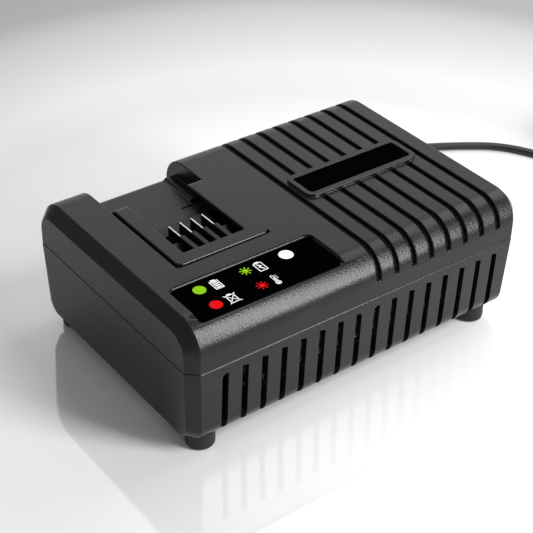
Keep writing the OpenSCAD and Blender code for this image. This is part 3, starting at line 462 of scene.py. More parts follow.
@dataclass(frozen=True)
class Gloss:
    """A smooth lacquered or filmed surface with a slight wave.

    The dust is the share of pale dust where it lies, and the shine the specular level.
    """

    name: str
    tone: Tone | int
    roughness: float
    dust: float = 0.06
    shine: float = 0.5

    def material(self) -> bpy.types.Material:
        """Makes the film: broad noise waves it and fine noise dusts it.

        Returns:
            The material.
        """
        r = Recipe(self.name, Specular_IOR_Level=self.shine)
        wave = r.noise(70, detail=1)
        dust = r.noise(5200, detail=2).ramp(0.66, 0.8)
        base = r.blend(dust * self.dust, linear(self.tone), linear(120))
        return r.feed(Base_Color=base, Roughness=self.roughness + dust * 0.3 + (wave - 0.5) * 0.04,
                      Normal=r.bump(wave, 0.25, 0.00008))


@dataclass(frozen=True)
class Ink:
    """Screen-printed ink: a flat colour with a faint mottle, little gloss and a little painted glow, light
    given out though it is no lamp.
    """

    name: str
    tone: Tone
    # Emission strength: painted light, a glow though the ink or lens is no lamp
    painted_glow: float

    def material(self) -> bpy.types.Material:
        """Makes the ink: fine noise darkens its tone a little in spots.

        Returns:
            The material.
        """
        # Painted glow: the ink's own colour is given out as light
        r = Recipe(self.name, Specular_IOR_Level=0.04, Emission_Strength=self.painted_glow)
        mottle = r.noise(2400, detail=2)
        base = r.blend(mottle.ramp(0.35, 0.7) * 0.35, linear(self.tone), linear(shaded(self.tone, 0.86)))
        return r.feed(Base_Color=base, Roughness=0.42 + mottle * 0.1, Emission_Color=base)


@dataclass(frozen=True)
class Rubbery:
    """Soft rubber or flexible sheath: dull, with a fine skin and scuffs."""

    name: str
    tone: int
    roughness: float

    def material(self) -> bpy.types.Material:
        """Makes the rubber: fine noise for its skin, broad noise for scuffs.

        Returns:
            The material.
        """
        r = Recipe(self.name, Specular_IOR_Level=0.45)
        skin = r.noise(3200, detail=3)
        scuff = r.noise(120, detail=4).ramp(0.55, 0.8)
        base = r.blend(scuff * 0.4, linear(self.tone), linear(self.tone + 18))
        return r.feed(Base_Color=base, Roughness=self.roughness + (skin - 0.5) * 0.15 + scuff * 0.12,
                      Normal=r.bump(skin, 0.35, 0.00004))


@dataclass(frozen=True)
class Laminate:
    """A circuit board: lacquer over copper tracks on a square grid, tinned where parts stand."""

    name: str = "board_lacquer"
    pitch: float = 0.00254
    # Half width of a track, as a share of the pitch
    track: float = 0.16

    def material(self) -> bpy.types.Material:
        """Makes the board: the grid's cells carry a track along X or Y, by a random value each.

        Returns:
            The material.
        """
        r = Recipe(self.name, Specular_IOR_Level=0.5)
        x, y = (r.axis(i) / self.pitch for i in (Axis.X, Axis.Y))
        cell = r.node("TexWhiteNoise", {"noise_dimensions": "2D"},
                      Vector=r.node("CombineXYZ", i0=x.math("FLOOR"), i1=y.math("FLOOR")), out="Value")
        track_x = abs(y.math("FRACT") - 0.5) < self.track
        track_y = abs(x.math("FRACT") - 0.5) < self.track
        along = cell > 0.5
        tracks = track_x * along + track_y * (1 - along)
        base = r.blend(tracks, linear((20, 62, 34)), linear((46, 104, 52)))
        base = r.blend(cell.ramp(0.93, 0.94) * (tracks > 0.5), base, linear((170, 172, 168)))
        return r.feed(Base_Color=base, Roughness=0.32 + r.noise(400) * 0.1,
                      Normal=r.bump(tracks, 0.6, 0.00004))


@dataclass(frozen=True)
class Wound:
    """Enamelled wire laid in turns about an axis, with the turns' pitch in metres."""

    name: str
    tone: Tone = (168, 84, 38)
    pitch: float = 0.0006
    axis: Axis = Axis.Z
    metal: float = 0.85

    def material(self) -> bpy.types.Material:
        """Makes the turns: a sine along the axis for wire after wire, with noise in their tone.

        Returns:
            The material.
        """
        r = Recipe(self.name, Metallic=self.metal)
        turns = (r.axis(self.axis) * (2 * math.pi / self.pitch) + r.noise(300) * 2).math("SINE") * 0.5 + 0.5
        shade = r.noise(700, detail=2)
        base = r.blend(shade.ramp(0.3, 0.7), linear(self.tone), linear(shaded(self.tone, 0.72)))
        return r.feed(Base_Color=base, Roughness=0.36 + shade * 0.12, Normal=r.bump(turns, 0.9, 0.0001))


@dataclass(frozen=True)
class Sintered:
    """Ferrite and other pressed parts: dull, with fine pits and chipped specks."""

    name: str
    tone: Tone = (58, 58, 60)
    roughness: float = 0.62

    def material(self) -> bpy.types.Material:
        """Makes the sinter: Voronoi pits under fine noise.

        Returns:
            The material.
        """
        r = Recipe(self.name, Specular_IOR_Level=0.4)
        pits = r.cells(2600.0)
        fine = r.noise(1800, detail=3)
        chips = fine.ramp(0.7, 0.76)
        lighter = tuple(min(255, c + 40) for c in self.tone)
        base = r.blend(chips * 0.5, linear(self.tone), linear(lighter))
        return r.feed(Base_Color=base, Roughness=self.roughness + (fine - 0.5) * 0.2,
                      Normal=r.bump(pits + fine * 0.5, 0.5, 0.00005))


class Finish(Enum):
    """Every finish of the charger, from its name and its fields in their order."""

    SHELL_PLASTIC = MouldedPlastic("shell_plastic")
    RAIL_PLASTIC = MouldedPlastic("rail_plastic", 13, 0.2, 0.0009, 0.00006, shine=0.31)
    COMB_PLASTIC = MouldedPlastic("comb_plastic", 15, 0.42, 0.0004, 0.00002)
    PLUG_PLASTIC = MouldedPlastic("plug_plastic", 26, 0.42, 0.0005, 0.00004)
    FAN_PLASTIC = MouldedPlastic("fan_plastic", 30, 0.36, 0.0006, 0.00001)
    CHIP_PLASTIC = MouldedPlastic("chip_plastic", 36, 0.55, 0.00025, 0.00001)
    CLAMP_PLASTIC = MouldedPlastic("clamp_plastic", 44, 0.45, 0.0004, 0.00002)
    SPOOL_PLASTIC = MouldedPlastic("spool_plastic", 150, 0.5, 0.0005, 0.00001)
    FILM_BOX = MouldedPlastic("film_box", 120, 0.35, 0.0006, 0.00001)
    # The blades are painted dark below 72.8 mm: painted shade, not tarnish
    BLADE_METAL = Metal("blade_metal", (232, 234, 238), 0.2, Axis.Y, painted_dark_below=0.0728)
    SCREW_STEEL = Metal("screw_steel", (150, 152, 156), 0.34)
    PIN_METAL = Metal("pin_metal", (206, 202, 190), 0.22, Axis.X)
    SINK_METAL = Metal("sink_metal", (176, 178, 182), 0.42)
    CLIP_METAL = Metal("clip_metal", (200, 198, 188), 0.3)
    CAN_SLEEVE = Metal("can_sleeve", (42, 44, 50), 0.34)
    CAN_SLEEVE_BLUE = Metal("can_sleeve_blue", (30, 48, 96), 0.34)
    PANEL_FILM = Gloss("panel_film", 1, 0.14, 0.004, 0.001)
    PLATE_FILM = Gloss("plate_film", 1, 0.16, 0.004, 0.001)
    FUSE_GLASS = Gloss("fuse_glass", (176, 188, 186), 0.06)
    LAMP_BODY = Gloss("lamp_body", (226, 232, 236), 0.12, 0.02)
    # The last number is the painted glow: the lens and the inks give out light though they are no lamps
    LENS_WHITE = Ink("lens_white", (250, 250, 250), 0.25)
    INK_WHITE = Ink("ink_white", (236, 236, 236), 0.12)
    INK_GREEN = Ink("ink_green", (132, 188, 18), 0.08)
    INK_RED = Ink("ink_red", (212, 0, 6), 0.08)
    FOOT_RUBBER = Rubbery("foot_rubber", 10, 0.66)
    CORD_SHEATH = Rubbery("cord_sheath", 22, 0.36)
    RELIEF_RUBBER = Rubbery("relief_rubber", 26, 0.46)
    TIE_STRAP = Rubbery("tie_strap", 40, 0.5)
    WIRE_RED = Rubbery("wire_red", 70, 0.45)
    WIRE_SHEATH = Rubbery("wire_sheath", 46, 0.45)
    BOARD_LACQUER = Laminate()
    WINDING_WIRE = Wound("winding_wire")
    CHOKE_WIRE = Wound("choke_wire", (176, 92, 40), 0.0009)
    STATOR_WIRE = Wound("stator_wire", (160, 80, 36), 0.0005, Axis.Y)
    FERRITE = Sintered("ferrite")
    CHOKE_FERRITE = Sintered("choke_ferrite", (46, 60, 48))


class Finishes:
    """The finishes' materials, each made once and handed out by its finish."""

    def __init__(self) -> None:
        """Makes the materials."""
        self.made = {finish: finish.value.material() for finish in Finish}

    def dress(self, piece: Piece, finish: Finish) -> None:
        """Gives a piece one finish in place of any that it has."""
        piece.data.materials.clear()
        piece.data.materials.append(self.made[finish])


# ---------------------------------------------------------------- meshes


def rounded_outline(length: float, width: float, radius: float, steps: int = 8) -> np.ndarray:
    """Points round a rectangle with quarter-circle corners, anticlockwise.

    Args:
        length: The rectangle's length along the first axis.
        width: Its width along the second.
        radius: The corners' radius.
        steps: Runs of the outline in each corner.

    Returns:
        The points, as (4 * (steps + 1), 2).
    """
    turn = np.linspace(0, math.pi / 2, steps + 1)
    corners = []
    for i, (sx, sy) in enumerate(((1, 1), (-1, 1), (-1, -1), (1, -1))):
        a = turn + i * math.pi / 2
        centre = np.array([sx * (length / 2 - radius), sy * (width / 2 - radius)])
        corners.append(centre + radius * np.stack([np.cos(a), np.sin(a)], 1))
    return np.concatenate(corners)


def circle_outline(radius: float, steps: int = 32) -> np.ndarray:
    """Points round a circle, anticlockwise."""
    a = np.linspace(0, 2 * math.pi, steps, endpoint=False)
    return radius * np.stack([np.cos(a), np.sin(a)], 1)


def carry(section: np.ndarray, path: np.ndarray) -> np.ndarray:
    """A section carried along a path: each ring is the section in the plane across the path there.

    Args:
        section: Points of the section, width then height, as (m, 2); the height keeps nearest to +Z.
        path: Centres of the rings, as (n, 3).

    Returns:
        The rings, as (n, m, 3).
    """
    along = unit(np.gradient(path, axis=0))
    wide = unit(np.cross(along, (0.0, 0.0, 1.0)))
    tall = np.cross(wide, along)
    return path[:, None] + section[None, :, :1] * wide[:, None] + section[None, :, 1:] * tall[:, None]


class Skin:
    """Points and faces of one piece, gathered from rings, in millimetres."""

    def __init__(self) -> None:
        """Starts with nothing."""
        self.points: list[np.ndarray] = []
        self.faces: list[tuple[int, ...]] = []
        self.count = 0

    def rings(self, rings: np.ndarray, loop: bool = False) -> "Skin":
        """Adds a tube through closed rings, with a face over each end where it has ends.

        Args:
            rings: Rings of points, as (n, m, 3), anticlockwise as seen from the last ring.
            loop: Whether the last ring joins the first.

        Returns:
            This skin.
        """
        n, m = rings.shape[:2]
        i, j = np.meshgrid(np.arange(n if loop else n - 1), np.arange(m), indexing="ij")
        a, b = i * m + j, i * m + (j + 1) % m
        up = ((i + 1) % n) * m
        quads = np.stack([a, b, up + (j + 1) % m, up + j], -1).reshape(-1, 4) + self.count
        self.faces += [tuple(q) for q in quads.tolist()]
        if not loop:
            self.faces.append(tuple(range(self.count + m - 1, self.count - 1, -1)))
            self.faces.append(tuple(range(self.count + (n - 1) * m, self.count + n * m)))
        self.points.append(rings.reshape(-1, 3))
        self.count += n * m
        return self

    def prism(self, outline: np.ndarray, low: float, high: float, at: Sequence[float]) -> "Skin":
        """Adds an outline, moved to a point, between two heights."""
        flat = outline + np.asarray(at)
        return self.rings(np.array([np.column_stack([flat, np.full(len(flat), h)]) for h in (low, high)]))

    def turned(self, profile: Sequence[Pair], centre: Sequence[float], axis: Axis = Axis.Z,
               steps: int = 48) -> "Skin":
        """Adds a profile turned about an axis: a circle of each point's radius at its height.

        Args:
            profile: Points of the profile, radius then height.
            centre: The point that the axis runs through, from which the heights count.
            axis: The axis.
            steps: Points of each circle.

        Returns:
            This skin.
        """
        a = np.linspace(0, 2 * math.pi, steps, endpoint=False)
        r, h = np.asarray(profile, float).T
        rings = np.zeros((len(r), steps, 3))
        rings[..., (axis + 1) % 3] = r[:, None] * np.cos(a)
        rings[..., (axis + 2) % 3] = r[:, None] * np.sin(a)
        rings[..., axis] = h[:, None]
        return self.rings(rings + np.asarray(centre, float))

    def build(self, name: str, sharp: float = 40) -> Piece:
        """Puts the mesh into the scene, with its object at the origin.

        Args:
            name: The piece's name.
            sharp: The angle, in degrees, from which an edge is shaded sharp.

        Returns:
            The piece.
        """
        mesh = bpy.data.meshes.new(name)
        mesh.from_pydata((np.concatenate(self.points) * MM).tolist(), [], self.faces)
        return finished(mesh, name, sharp)


def finished(mesh: bpy.types.Mesh, name: str, sharp: float) -> Piece:
    """Shades a mesh smooth and puts it into the scene.

    Args:
        mesh: The mesh.
        name: The piece's name.
        sharp: The angle, in degrees, from which an edge is shaded sharp.

    Returns:
        The piece.
    """
    mesh.validate()
    mesh.update()
    mesh.shade_smooth()
    mesh.set_sharp_from_angle(angle=math.radians(sharp))
    piece = bpy.data.objects.new(name, mesh)
    show(piece)
    return piece


def breakable(work: bmesh.types.BMesh, rim: float) -> set[bmesh.types.BMEdge]:
    """The sharp edges that a rim of this width can be cut from without a spike.

    Where a broken edge meets one that stays, the cut slides along the one that stays by the rim over
    the sine of the angle between them. An edge is left whole where that slide is longer than the
    other edge, or longer than four rims; the test repeats until no edge drops out.

    Args:
        work: The mesh, in metres.
        rim: The width, in metres.

    Returns:
        The edges.
    """
    limit = math.radians(SHARP)
    chosen = {e for e in work.edges if len(e.link_faces) == 2 and e.calc_face_angle(0) > limit}
    dropped = chosen
    while dropped:
        dropped = set()
        for face in work.faces:
            for corner in face.loops:
                after, before = corner.edge, corner.link_loop_prev.edge
                if after not in chosen and before not in chosen:
                    continue
                turn = corner.calc_angle()
                both = after in chosen and before in chosen
                slide = rim / max(1e-6, math.tan(turn / 2) if both else math.sin(turn))
                room = min(after.calc_length(), before.calc_length()) if both else (
                    before if after in chosen else after).calc_length()
                if slide > min(4 * rim, 0.9 * room):
                    dropped |= {after, before} & chosen
        chosen -= dropped
    return chosen


@dataclass(frozen=True)
class Copied:
    """A CAD node that is copied with broken edges, and how the copy looks.

    The rim is the width of the broken edges in millimetres, with steps faces across it. At the
    splits, places along Y in millimetres, faces are parted so that a broken edge can end there.
    """

    node: str
    name: str
    rim: float
    finish: Finish
    slot: Slot
    steps: int = 2
    splits: tuple[float, ...] = ()

    def build(self) -> Piece:
        """Makes the copy: its doubles merged, its flat faces joined and its edges broken.

        Returns:
            The piece.
        """
        work = bmesh.new()
        work.from_mesh(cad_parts[self.node].data)
        bmesh.ops.remove_doubles(work, verts=work.verts, dist=MERGE)
        bmesh.ops.dissolve_limit(work, angle_limit=math.radians(FLAT), verts=work.verts, edges=work.edges)
        for y in self.splits:
            bmesh.ops.bisect_plane(work, geom=[*work.verts, *work.edges, *work.faces], dist=MERGE,
                                   plane_co=(0, y * MM, 0), plane_no=(0, 1, 0))
        weight = work.edges.layers.float.new("bevel_weight_edge")
        for edge in breakable(work, self.rim * MM):
            edge[weight] = 1.0
        mesh = bpy.data.meshes.new(self.name)
        work.to_mesh(mesh)
        work.free()
        piece = finished(mesh, self.name, SHARP)
        bevel = piece.modifiers.new("edges", "BEVEL")
        bevel.width, bevel.segments = self.rim * MM, self.steps
        bevel.limit_method, bevel.use_clamp_overlap = "WEIGHT", False
        bevel.miter_outer = "MITER_ARC"
        piece.modifiers.new("normals", "WEIGHTED_NORMAL").keep_sharp = True
        return piece


# ---------------------------------------------------------------- the charger


@dataclass
class Assembly:
    """What the classes of the charger share: finishes, copied nodes and the way a piece is put in."""

    finishes: Finishes
    copies: tuple[Copied, ...] = ()

    def build(self) -> None:
        """Makes the copied nodes."""
        for copied in self.copies:
            self.copy(copied)

    def copy(self, copied: Copied) -> None:
        """Makes a copied node and puts it in place of the node."""
        self.put(copied.build(), copied.finish, copied.slot, copied.node)

    def put(self, piece: Piece, finish: Finish, slot: Slot, *nodes: str) -> Piece:
        """Dresses a piece, sets it on the case in place of CAD nodes and reports it.

        Args:
            piece: The piece.
            finish: Its finish.
            slot: Its material slot; it is not used.
            nodes: The CAD nodes that it stands for.

        Returns:
            The piece.
        """
        self.finishes.dress(piece, finish)
        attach(piece, Body.CASE.value)
        if nodes:
            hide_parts(*nodes)
        log.info("%s: %s, for %s", piece.name, finish.value.name, ", ".join(nodes) or "no node")
        return piece

    def keep(self, node: str, finish: Finish, slot: Slot) -> None:
        """Dresses a CAD node that stays as it is and reports it.

        Args:
            node: The node.
            finish: Its finish.
            slot: Its material slot; it is not used.
        """
        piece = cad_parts[node]
        self.finishes.dress(piece, finish)
        log.info("%s: kept, %s", node, finish.value.name)


@dataclass
class Shells(Assembly):
    """The two shells of the case with their feet and screws, in millimetres."""

    copies: tuple[Copied, ...] = (
        Copied("top_housing", "case_top", 0.45, Finish.SHELL_PLASTIC, Slot.CASE_PLASTIC),
        Copied("bottom_housing", "case_bottom", 0.45, Finish.SHELL_PLASTIC, Slot.CASE_PLASTIC),
    )
    screws: Copied = Copied("case_screws", "case_screw_set", 0.2, Finish.SCREW_STEEL, Slot.SCREW_STEEL)
    foot_places: tuple = ((-87.5, -56.7), (-87.5, 56.7), (83, -56.7), (83, 56.7))
    foot_radius: float = 7.2
    foot_top: float = 9.0

    def build(self) -> None:
        """Makes the shells, the feet and the screws between the shells."""
        super().build()
        self.feet()
        self.copy(self.screws)

    def feet(self) -> None:
        """Makes the feet: a turned pad with a rounded lip and a shallow dish in its underside."""
        r = self.foot_radius
        profile = [(r - 2.2, 0.5), (r - 1.6, 0.0), (r - 1.0, 0.0), (r - 0.4, 0.25), (r - 0.1, 0.8),
                   (r, 1.6), (r, self.foot_top)]
        skin = Skin()
        for x, y in self.foot_places:
            skin.turned(profile, (x, y, 0))
        self.put(skin.build("feet"), Finish.FOOT_RUBBER, Slot.FOOT_RUBBER, "rubber_feet")


@dataclass
class Dock(Assembly):
    """The rail frame, the terminal block and its blades."""

    copies: tuple[Copied, ...] = (
        Copied("dock_frame", "rail_frame", 0.65, Finish.RAIL_PLASTIC, Slot.RAIL_PLASTIC, steps=4,
               splits=(32.5,)),
        Copied("terminal_block", "comb_block", 0.25, Finish.COMB_PLASTIC, Slot.TERMINAL_PLASTIC),
        Copied("terminal_blades", "blades", 0.12, Finish.BLADE_METAL, Slot.BLADE_METAL),
        Copied("dock_screws", "dock_screw_set", 0.15, Finish.SCREW_STEEL, Slot.SCREW_STEEL),
    )


@dataclass
class Panel(Assembly):
    """The printed film with its signs, its lamp window and the film on the name plate, in millimetres."""

    copies: tuple[Copied, ...] = (
        Copied("panel_label", "panel_film", 0.12, Finish.PANEL_FILM, Slot.LABEL_GLOSS),
        Copied("name_label", "plate_film", 0.12, Finish.PLATE_FILM, Slot.LABEL_GLOSS),
    )
    # Height of the film's top, thickness of the ink and width of its lines
    top: float = 72.2
    ink: float = 0.04
    line: float = 0.5
    # The lamp window's middle, radius and lower end
    window_at: Pair = (-27.1, -40.2)
    window_radius: float = 3.7
    window_low: float = 66.3
    # Middles of the white signs: full, charging and unfit battery, and a thermometer
    full: Pair = (-67.3, -41.6)
    charging: Pair = (-42.8, -41.6)
    unfit: Pair = (-67.5, -54.3)
    warm: Pair = (-43.2, -53.6)
    # Middles of the steady and the blinking lamp in each colour
    green: tuple = ((-76.1, -40.7), (-50.6, -40.5))
    red: tuple = ((-76.2, -54.0), (-50.9, -53.9))
    # Charge bars: their number, their length and width, the lowest one's place and their distance
    bar_count: int = 4
    bar_size: Pair = (2.8, 0.84)
    bar_low: float = -2.15
    bar_step: float = 1.42
    # The thermometer's bulb: its middle from the sign's middle, and the glass's and the fill's radius
    bulb_at: Pair = (-0.1, -2.6)
    bulb_radius: float = 1.25
    bulb_fill: float = 0.75
    # Radii of a steady and a blinking lamp's disc, and of the ends of a blinking one's rays
    discs: Pair = (3.15, 1.45)
    rays: Pair = (1.75, 3.0)
    ray_count: int = 8
    first_ray: float = 22

    def build(self) -> None:
        """Makes the films, the window and the prints."""
        super().build()
        self.window()
        self.put(self.white_signs(), Finish.INK_WHITE, Slot.LABEL_GLOSS)
        self.put(self.lamps(*self.green, "signs_green"), Finish.INK_GREEN, Slot.LABEL_GLOSS)
        self.put(self.lamps(*self.red, "signs_red"), Finish.INK_RED, Slot.LABEL_GLOSS)

    def window(self) -> None:
        """Makes the light pipe: a profile turned into a rod whose top is a shallow lens."""
        r, high = self.window_radius, self.top
        profile = [(r, self.window_low), (r, high - 0.5), (r - 0.12, high - 0.2), (r - 0.5, high - 0.06),
                   (r - 1.5, high - 0.02), (0.4, high)]
        skin = Skin().turned(profile, (*self.window_at, 0))
        self.put(skin.build("lamp_window"), Finish.LENS_WHITE, Slot.LENS, "light_pipe")

    def strip(self, skin: Skin, corners: Sequence[Pair], width: Optional[float] = None,
              loop: bool = False) -> None:
        """Adds a printed line: a rectangle of ink carried through corners.

        Args:
            skin: What the line is added to.
            corners: The corners of the line's middle.
            width: The line's width, or none for the usual one.
            loop: Whether the line closes on its first corner.
        """
        path = np.array([(x, y, self.top + self.ink / 2) for x, y in corners], float)
        w, t = (width or self.line) / 2, self.ink / 2
        section = np.array([(w, -t), (w, t), (-w, t), (-w, -t)])
        if loop:
            wrapped = np.vstack([path[-1:], path, path[:1]])
            skin.rings(mitred(section, wrapped)[1:-1], loop=True)
        else:
            skin.rings(mitred(section, path))

    def area(self, skin: Skin, outline: np.ndarray, at: Sequence[float]) -> None:
        """Adds a printed area: an outline raised by the thickness of the ink."""
        skin.prism(outline, self.top, self.top + self.ink, at)

    def battery(self, skin: Skin, at: Pair, tall: float = 6.2, wide: float = 4.1) -> None:
        """Adds a battery: a closed line round a rectangle, with a short line over it for its knob.

        Args:
            skin: What the sign is added to.
            at: The rectangle's middle.
            tall: The rectangle's height.
            wide: Its width.
        """
        (x, y), w, h = at, wide / 2, tall / 2
        self.strip(skin, [(x - w, y - h), (x + w, y - h), (x + w, y + h), (x - w, y + h)], loop=True)
        self.strip(skin, [(x - w * 0.55, y + h + 0.62), (x + w * 0.55, y + h + 0.62)], width=0.75)

    def white_signs(self) -> Piece:
        """Makes the white signs: a battery with its charge bars, one with a bolt, one crossed out.

        A thermometer stands beside the crossed-out battery.

        Returns:
            The signs, as one piece.
        """
        skin = Skin()
        self.battery(skin, self.full)
        bar = rounded_outline(*self.bar_size, self.bar_size[1] * 0.15, 2)
        for i in range(self.bar_count):
            self.area(skin, bar, (self.full[0], self.full[1] + self.bar_low + i * self.bar_step))
        self.battery(skin, self.charging)
        x, y = self.charging
        bolt = [(x - 0.9, y + 2.2), (x + 0.5, y + 0.6), (x - 0.6, y + 0.1), (x + 0.9, y - 2.1)]
        self.strip(skin, bolt, width=0.7)
        self.battery(skin, self.unfit, tall=5.6)
        x, y = self.unfit
        for side in (-1, 1):
            self.strip(skin, [(x + 3.1 * side, y + 3.4), (x - 3.1 * side, y - 3.4)], width=0.45)
        self.thermometer(skin, *self.warm)
        return skin.build("signs_white")

    def thermometer(self, skin: Skin, x: float, y: float) -> None:
        """Adds a thermometer: its glass round a filled bulb and a column, with three marks beside it.

        The glass is a line up one side, over the top and down the other side, and then round five
        sixths of a circle about the bulb.

        Args:
            skin: What the sign is added to.
            x: The sign's middle along X.
            y: Its middle along Y.
        """
        middle = (x + self.bulb_at[0], y + self.bulb_at[1])
        bow = np.radians(np.linspace(120, 420, 18))
        bulb = np.array(middle) + self.bulb_radius * np.stack([np.cos(bow), np.sin(bow)], 1)
        glass = [(x + 0.52, y - 1.5), (x + 0.52, y + 3.0), (x - 0.1, y + 3.5), (x - 0.72, y + 3.0)]
        self.strip(skin, np.vstack([glass, bulb]), width=0.42)
        self.area(skin, circle_outline(self.bulb_fill), middle)
        self.strip(skin, [(x - 0.1, y - 2.4), (x - 0.1, y + 1.2)], width=0.4)
        for i in range(3):
            self.strip(skin, [(x + 1.25, y + 2.6 - 1.1 * i), (x + 2.1, y + 2.6 - 1.1 * i)], width=0.36)

    def lamps(self, steady: tuple, blinking: tuple, name: str) -> Piece:
        """Makes one colour's two signs: a disc for a steady lamp, one with rays for a blinking lamp.

        Args:
            steady: The middle of the steady lamp's disc.
            blinking: The middle of the blinking lamp's.
            name: The piece's name.

        Returns:
            The two signs, as one piece.
        """
        skin = Skin()
        for radius, at in zip(self.discs, (steady, blinking)):
            self.area(skin, circle_outline(radius), at)
        for i in range(self.ray_count):
            a = math.radians(self.first_ray + 360 / self.ray_count * i)
            way = np.array([math.cos(a), math.sin(a)])
            self.strip(skin, [blinking + way * r for r in self.rays], width=0.62)
        return skin.build(name)


def mitred(section: np.ndarray, path: np.ndarray) -> np.ndarray:
    """A section carried along a flat path of straight runs, with each ring on the corner's mitre.

    A ring's width lies along the line that halves its corner, and is stretched by one over the cosine
    of half the turn there, so that both runs keep their width.

    Args:
        section: Points of the section, width then height, as (m, 2).
        path: Corners of the path, all at one height, as (n, 3).

    Returns:
        The rings, as (n, m, 3).
    """
    runs = unit(np.diff(path, axis=0))
    after = np.vstack([runs, runs[-1:]])
    along = unit(np.vstack([runs[:1], runs]) + after)
    wide = np.stack([along[:, 1], -along[:, 0], np.zeros(len(along))], 1)
    stretch = 1 / np.clip((along * after).sum(1), 0.4, 1)
    out = path[:, None] + section[None, :, :1] * (wide * stretch[:, None])[:, None]
    out[..., 2] += section[None, :, 1]
    return out


@dataclass
class Lead(Assembly):
    """The mains lead: sleeve, flat cord with its coil, tie and plug, in millimetres."""

    coil_centre: Pair = (284.0, 20.0)
    coil_start: float = 209.0
    turn_points: int = 30
    # Distance from point to point before and after the coil, and the coil's points shared with each
    route_step: float = 5.0
    tail_step: float = 3.0
    shared: int = 3
    # The furrow between the cores: its depth as a share of the cord's, and its half width
    furrow: Pair = (0.16, 0.9)
    # The sleeve's exit along X and Z, its droop in degrees, where it starts and bends along Y, its
    # length past the bend, and how far along it its collar starts
    exit_at: Pair = (23.5, 50.0)
    droop: float = 25.0
    sleeve_start: float = 63.7
    bend_at: float = 71.3
    sleeve_length: float = 23.2
    collar_at: float = 5.2
    # Turns from the start of the coil, radius and height at each, eased between
    winding: tuple = (
        (0.0, 41.6, 2.0), (0.2, 38.0, 2.2), (0.78, 38.0, 2.2), (1.22, 32.0, 2.2), (1.78, 32.0, 2.2),
        (2.22, 26.0, 2.2), (2.56, 26.0, 2.2), (2.9, 26.0, 5.8), (3.34, 26.0, 5.8), (3.78, 32.0, 5.8),
        (4.34, 32.0, 5.8), (4.78, 38.0, 5.8), (5.2, 38.0, 5.8), (5.52, 38.0, 9.4), (5.95, 38.0, 9.4),
        (6.25, 32.0, 9.4), (6.79, 32.0, 9.4), (6.95, 33.0, 13.2),
    )
    tail: tuple = ((253.0, 5.0, 14.2), (255.4, -1.5, 15.2), (260.2, -7.1, 16.3), (266.5, -10.7, 17.2),
                   (273.7, -12.0, 17.8))
    # Inner and outer radius, bottom and top of the strap, its turn about the coil, thickness and width
    tie_reach: tuple[float, ...] = (22.4, 41.6, 0.25, 11.55)
    tie_turn: float = 135.0
    tie_band: Pair = (0.5, 11.6)
    # Corner radius of the strap's path and of its section
    tie_rounds: Pair = (2.6, 0.2)
    # The plug's ends along X, its middle along Y, and its bottom and top
    plug_ends: Pair = (271.2, 306.8)
    plug_middle: float = -12.0
    plug_low: float = 11.4
    plug_high: float = 24.2
    # Share of the plug's length, and its half width and half height there
    plug_form: tuple = (
        (0, 4.2, 3.2), (0.02, 5.2, 3.6), (0.06, 6.2, 4.0), (0.12, 7.8, 4.6), (0.2, 10.4, 5.3),
        (0.3, 13.4, 5.9), (0.42, 15.6, 6.3), (0.46, 15.0, 6.2), (0.50, 16.2, 6.4), (0.54, 15.2, 6.2),
        (0.58, 16.5, 6.4), (0.62, 15.4, 6.2), (0.66, 16.7, 6.4), (0.70, 15.6, 6.2), (0.74, 16.9, 6.4),
        (0.80, 16.9, 6.4), (0.93, 16.9, 6.4), (0.975, 16.7, 6.25), (0.995, 16.1, 5.8), (1.0, 15.2, 5.0),
    )
    # How boxy the plug's section is: 1 for an ellipse, 0 for a rectangle
    plug_power: float = 0.42
    # A pin's radius, its distance from the plug's middle, its root and its tip
    pin_radius: float = 2.0
    pin_apart: float = 9.3
    pin_ends: Pair = (306.0, 326.0)

    def build(self) -> None:
        relief = self.put(self.sleeve(), Finish.RELIEF_RUBBER, Slot.CORD_SHEATH, "strain_relief")
        path = self.path()
        cord = self.put(self.cord(path), Finish.CORD_SHEATH, Slot.CORD_SHEATH, "mains_cord", "cord_coil",
                        "cord_tail")
        tie = self.put(self.tie(), Finish.TIE_STRAP, Slot.CORD_SHEATH, "coil_tie")
        plug = self.put(self.plug(), Finish.PLUG_PLASTIC, Slot.CORD_SHEATH, "plug_body")
        pins = self.put(self.pins(), Finish.PIN_METAL, Slot.BLADE_METAL, "plug_pins")

    def path(self) -> np.ndarray:
        """The cord's centreline: its route, the eased turns of the coil and the tail to the plug.

        Between two marks of the winding, the radius and the height change by 3 t squared less 2 t
        cubed of their difference, where t is the share of the way between the marks.

        Returns:
            Points of the centreline, as (n, 3).
        """
        marks = np.array(self.winding)
        turns = np.arange(0, marks[-1, 0] + 1e-6, 1 / self.turn_points)
        span = np.clip(np.searchsorted(marks[:, 0], turns, side="right") - 1, 0, len(marks) - 2)
        share = (turns - marks[span, 0]) / (marks[span + 1, 0] - marks[span, 0])
        share = share * share * (3 - 2 * share)
        radius, height = (marks[span, k] + (marks[span + 1, k] - marks[span, k]) * share for k in (1, 2))
        a = np.radians(self.coil_start) + turns * 2 * math.pi
        coil = np.stack([self.coil_centre[0] + radius * np.cos(a), self.coil_centre[1] + radius * np.sin(a),
                         height], 1)
        route, n = np.array(CORD_ROUTE) / MM, self.shared
        return np.vstack([smoothed(np.vstack([route, coil[:n]]), self.route_step)[:-1], coil[n:-n],
                          smoothed(np.vstack([coil[-n:], np.array(self.tail)]), self.tail_step)])

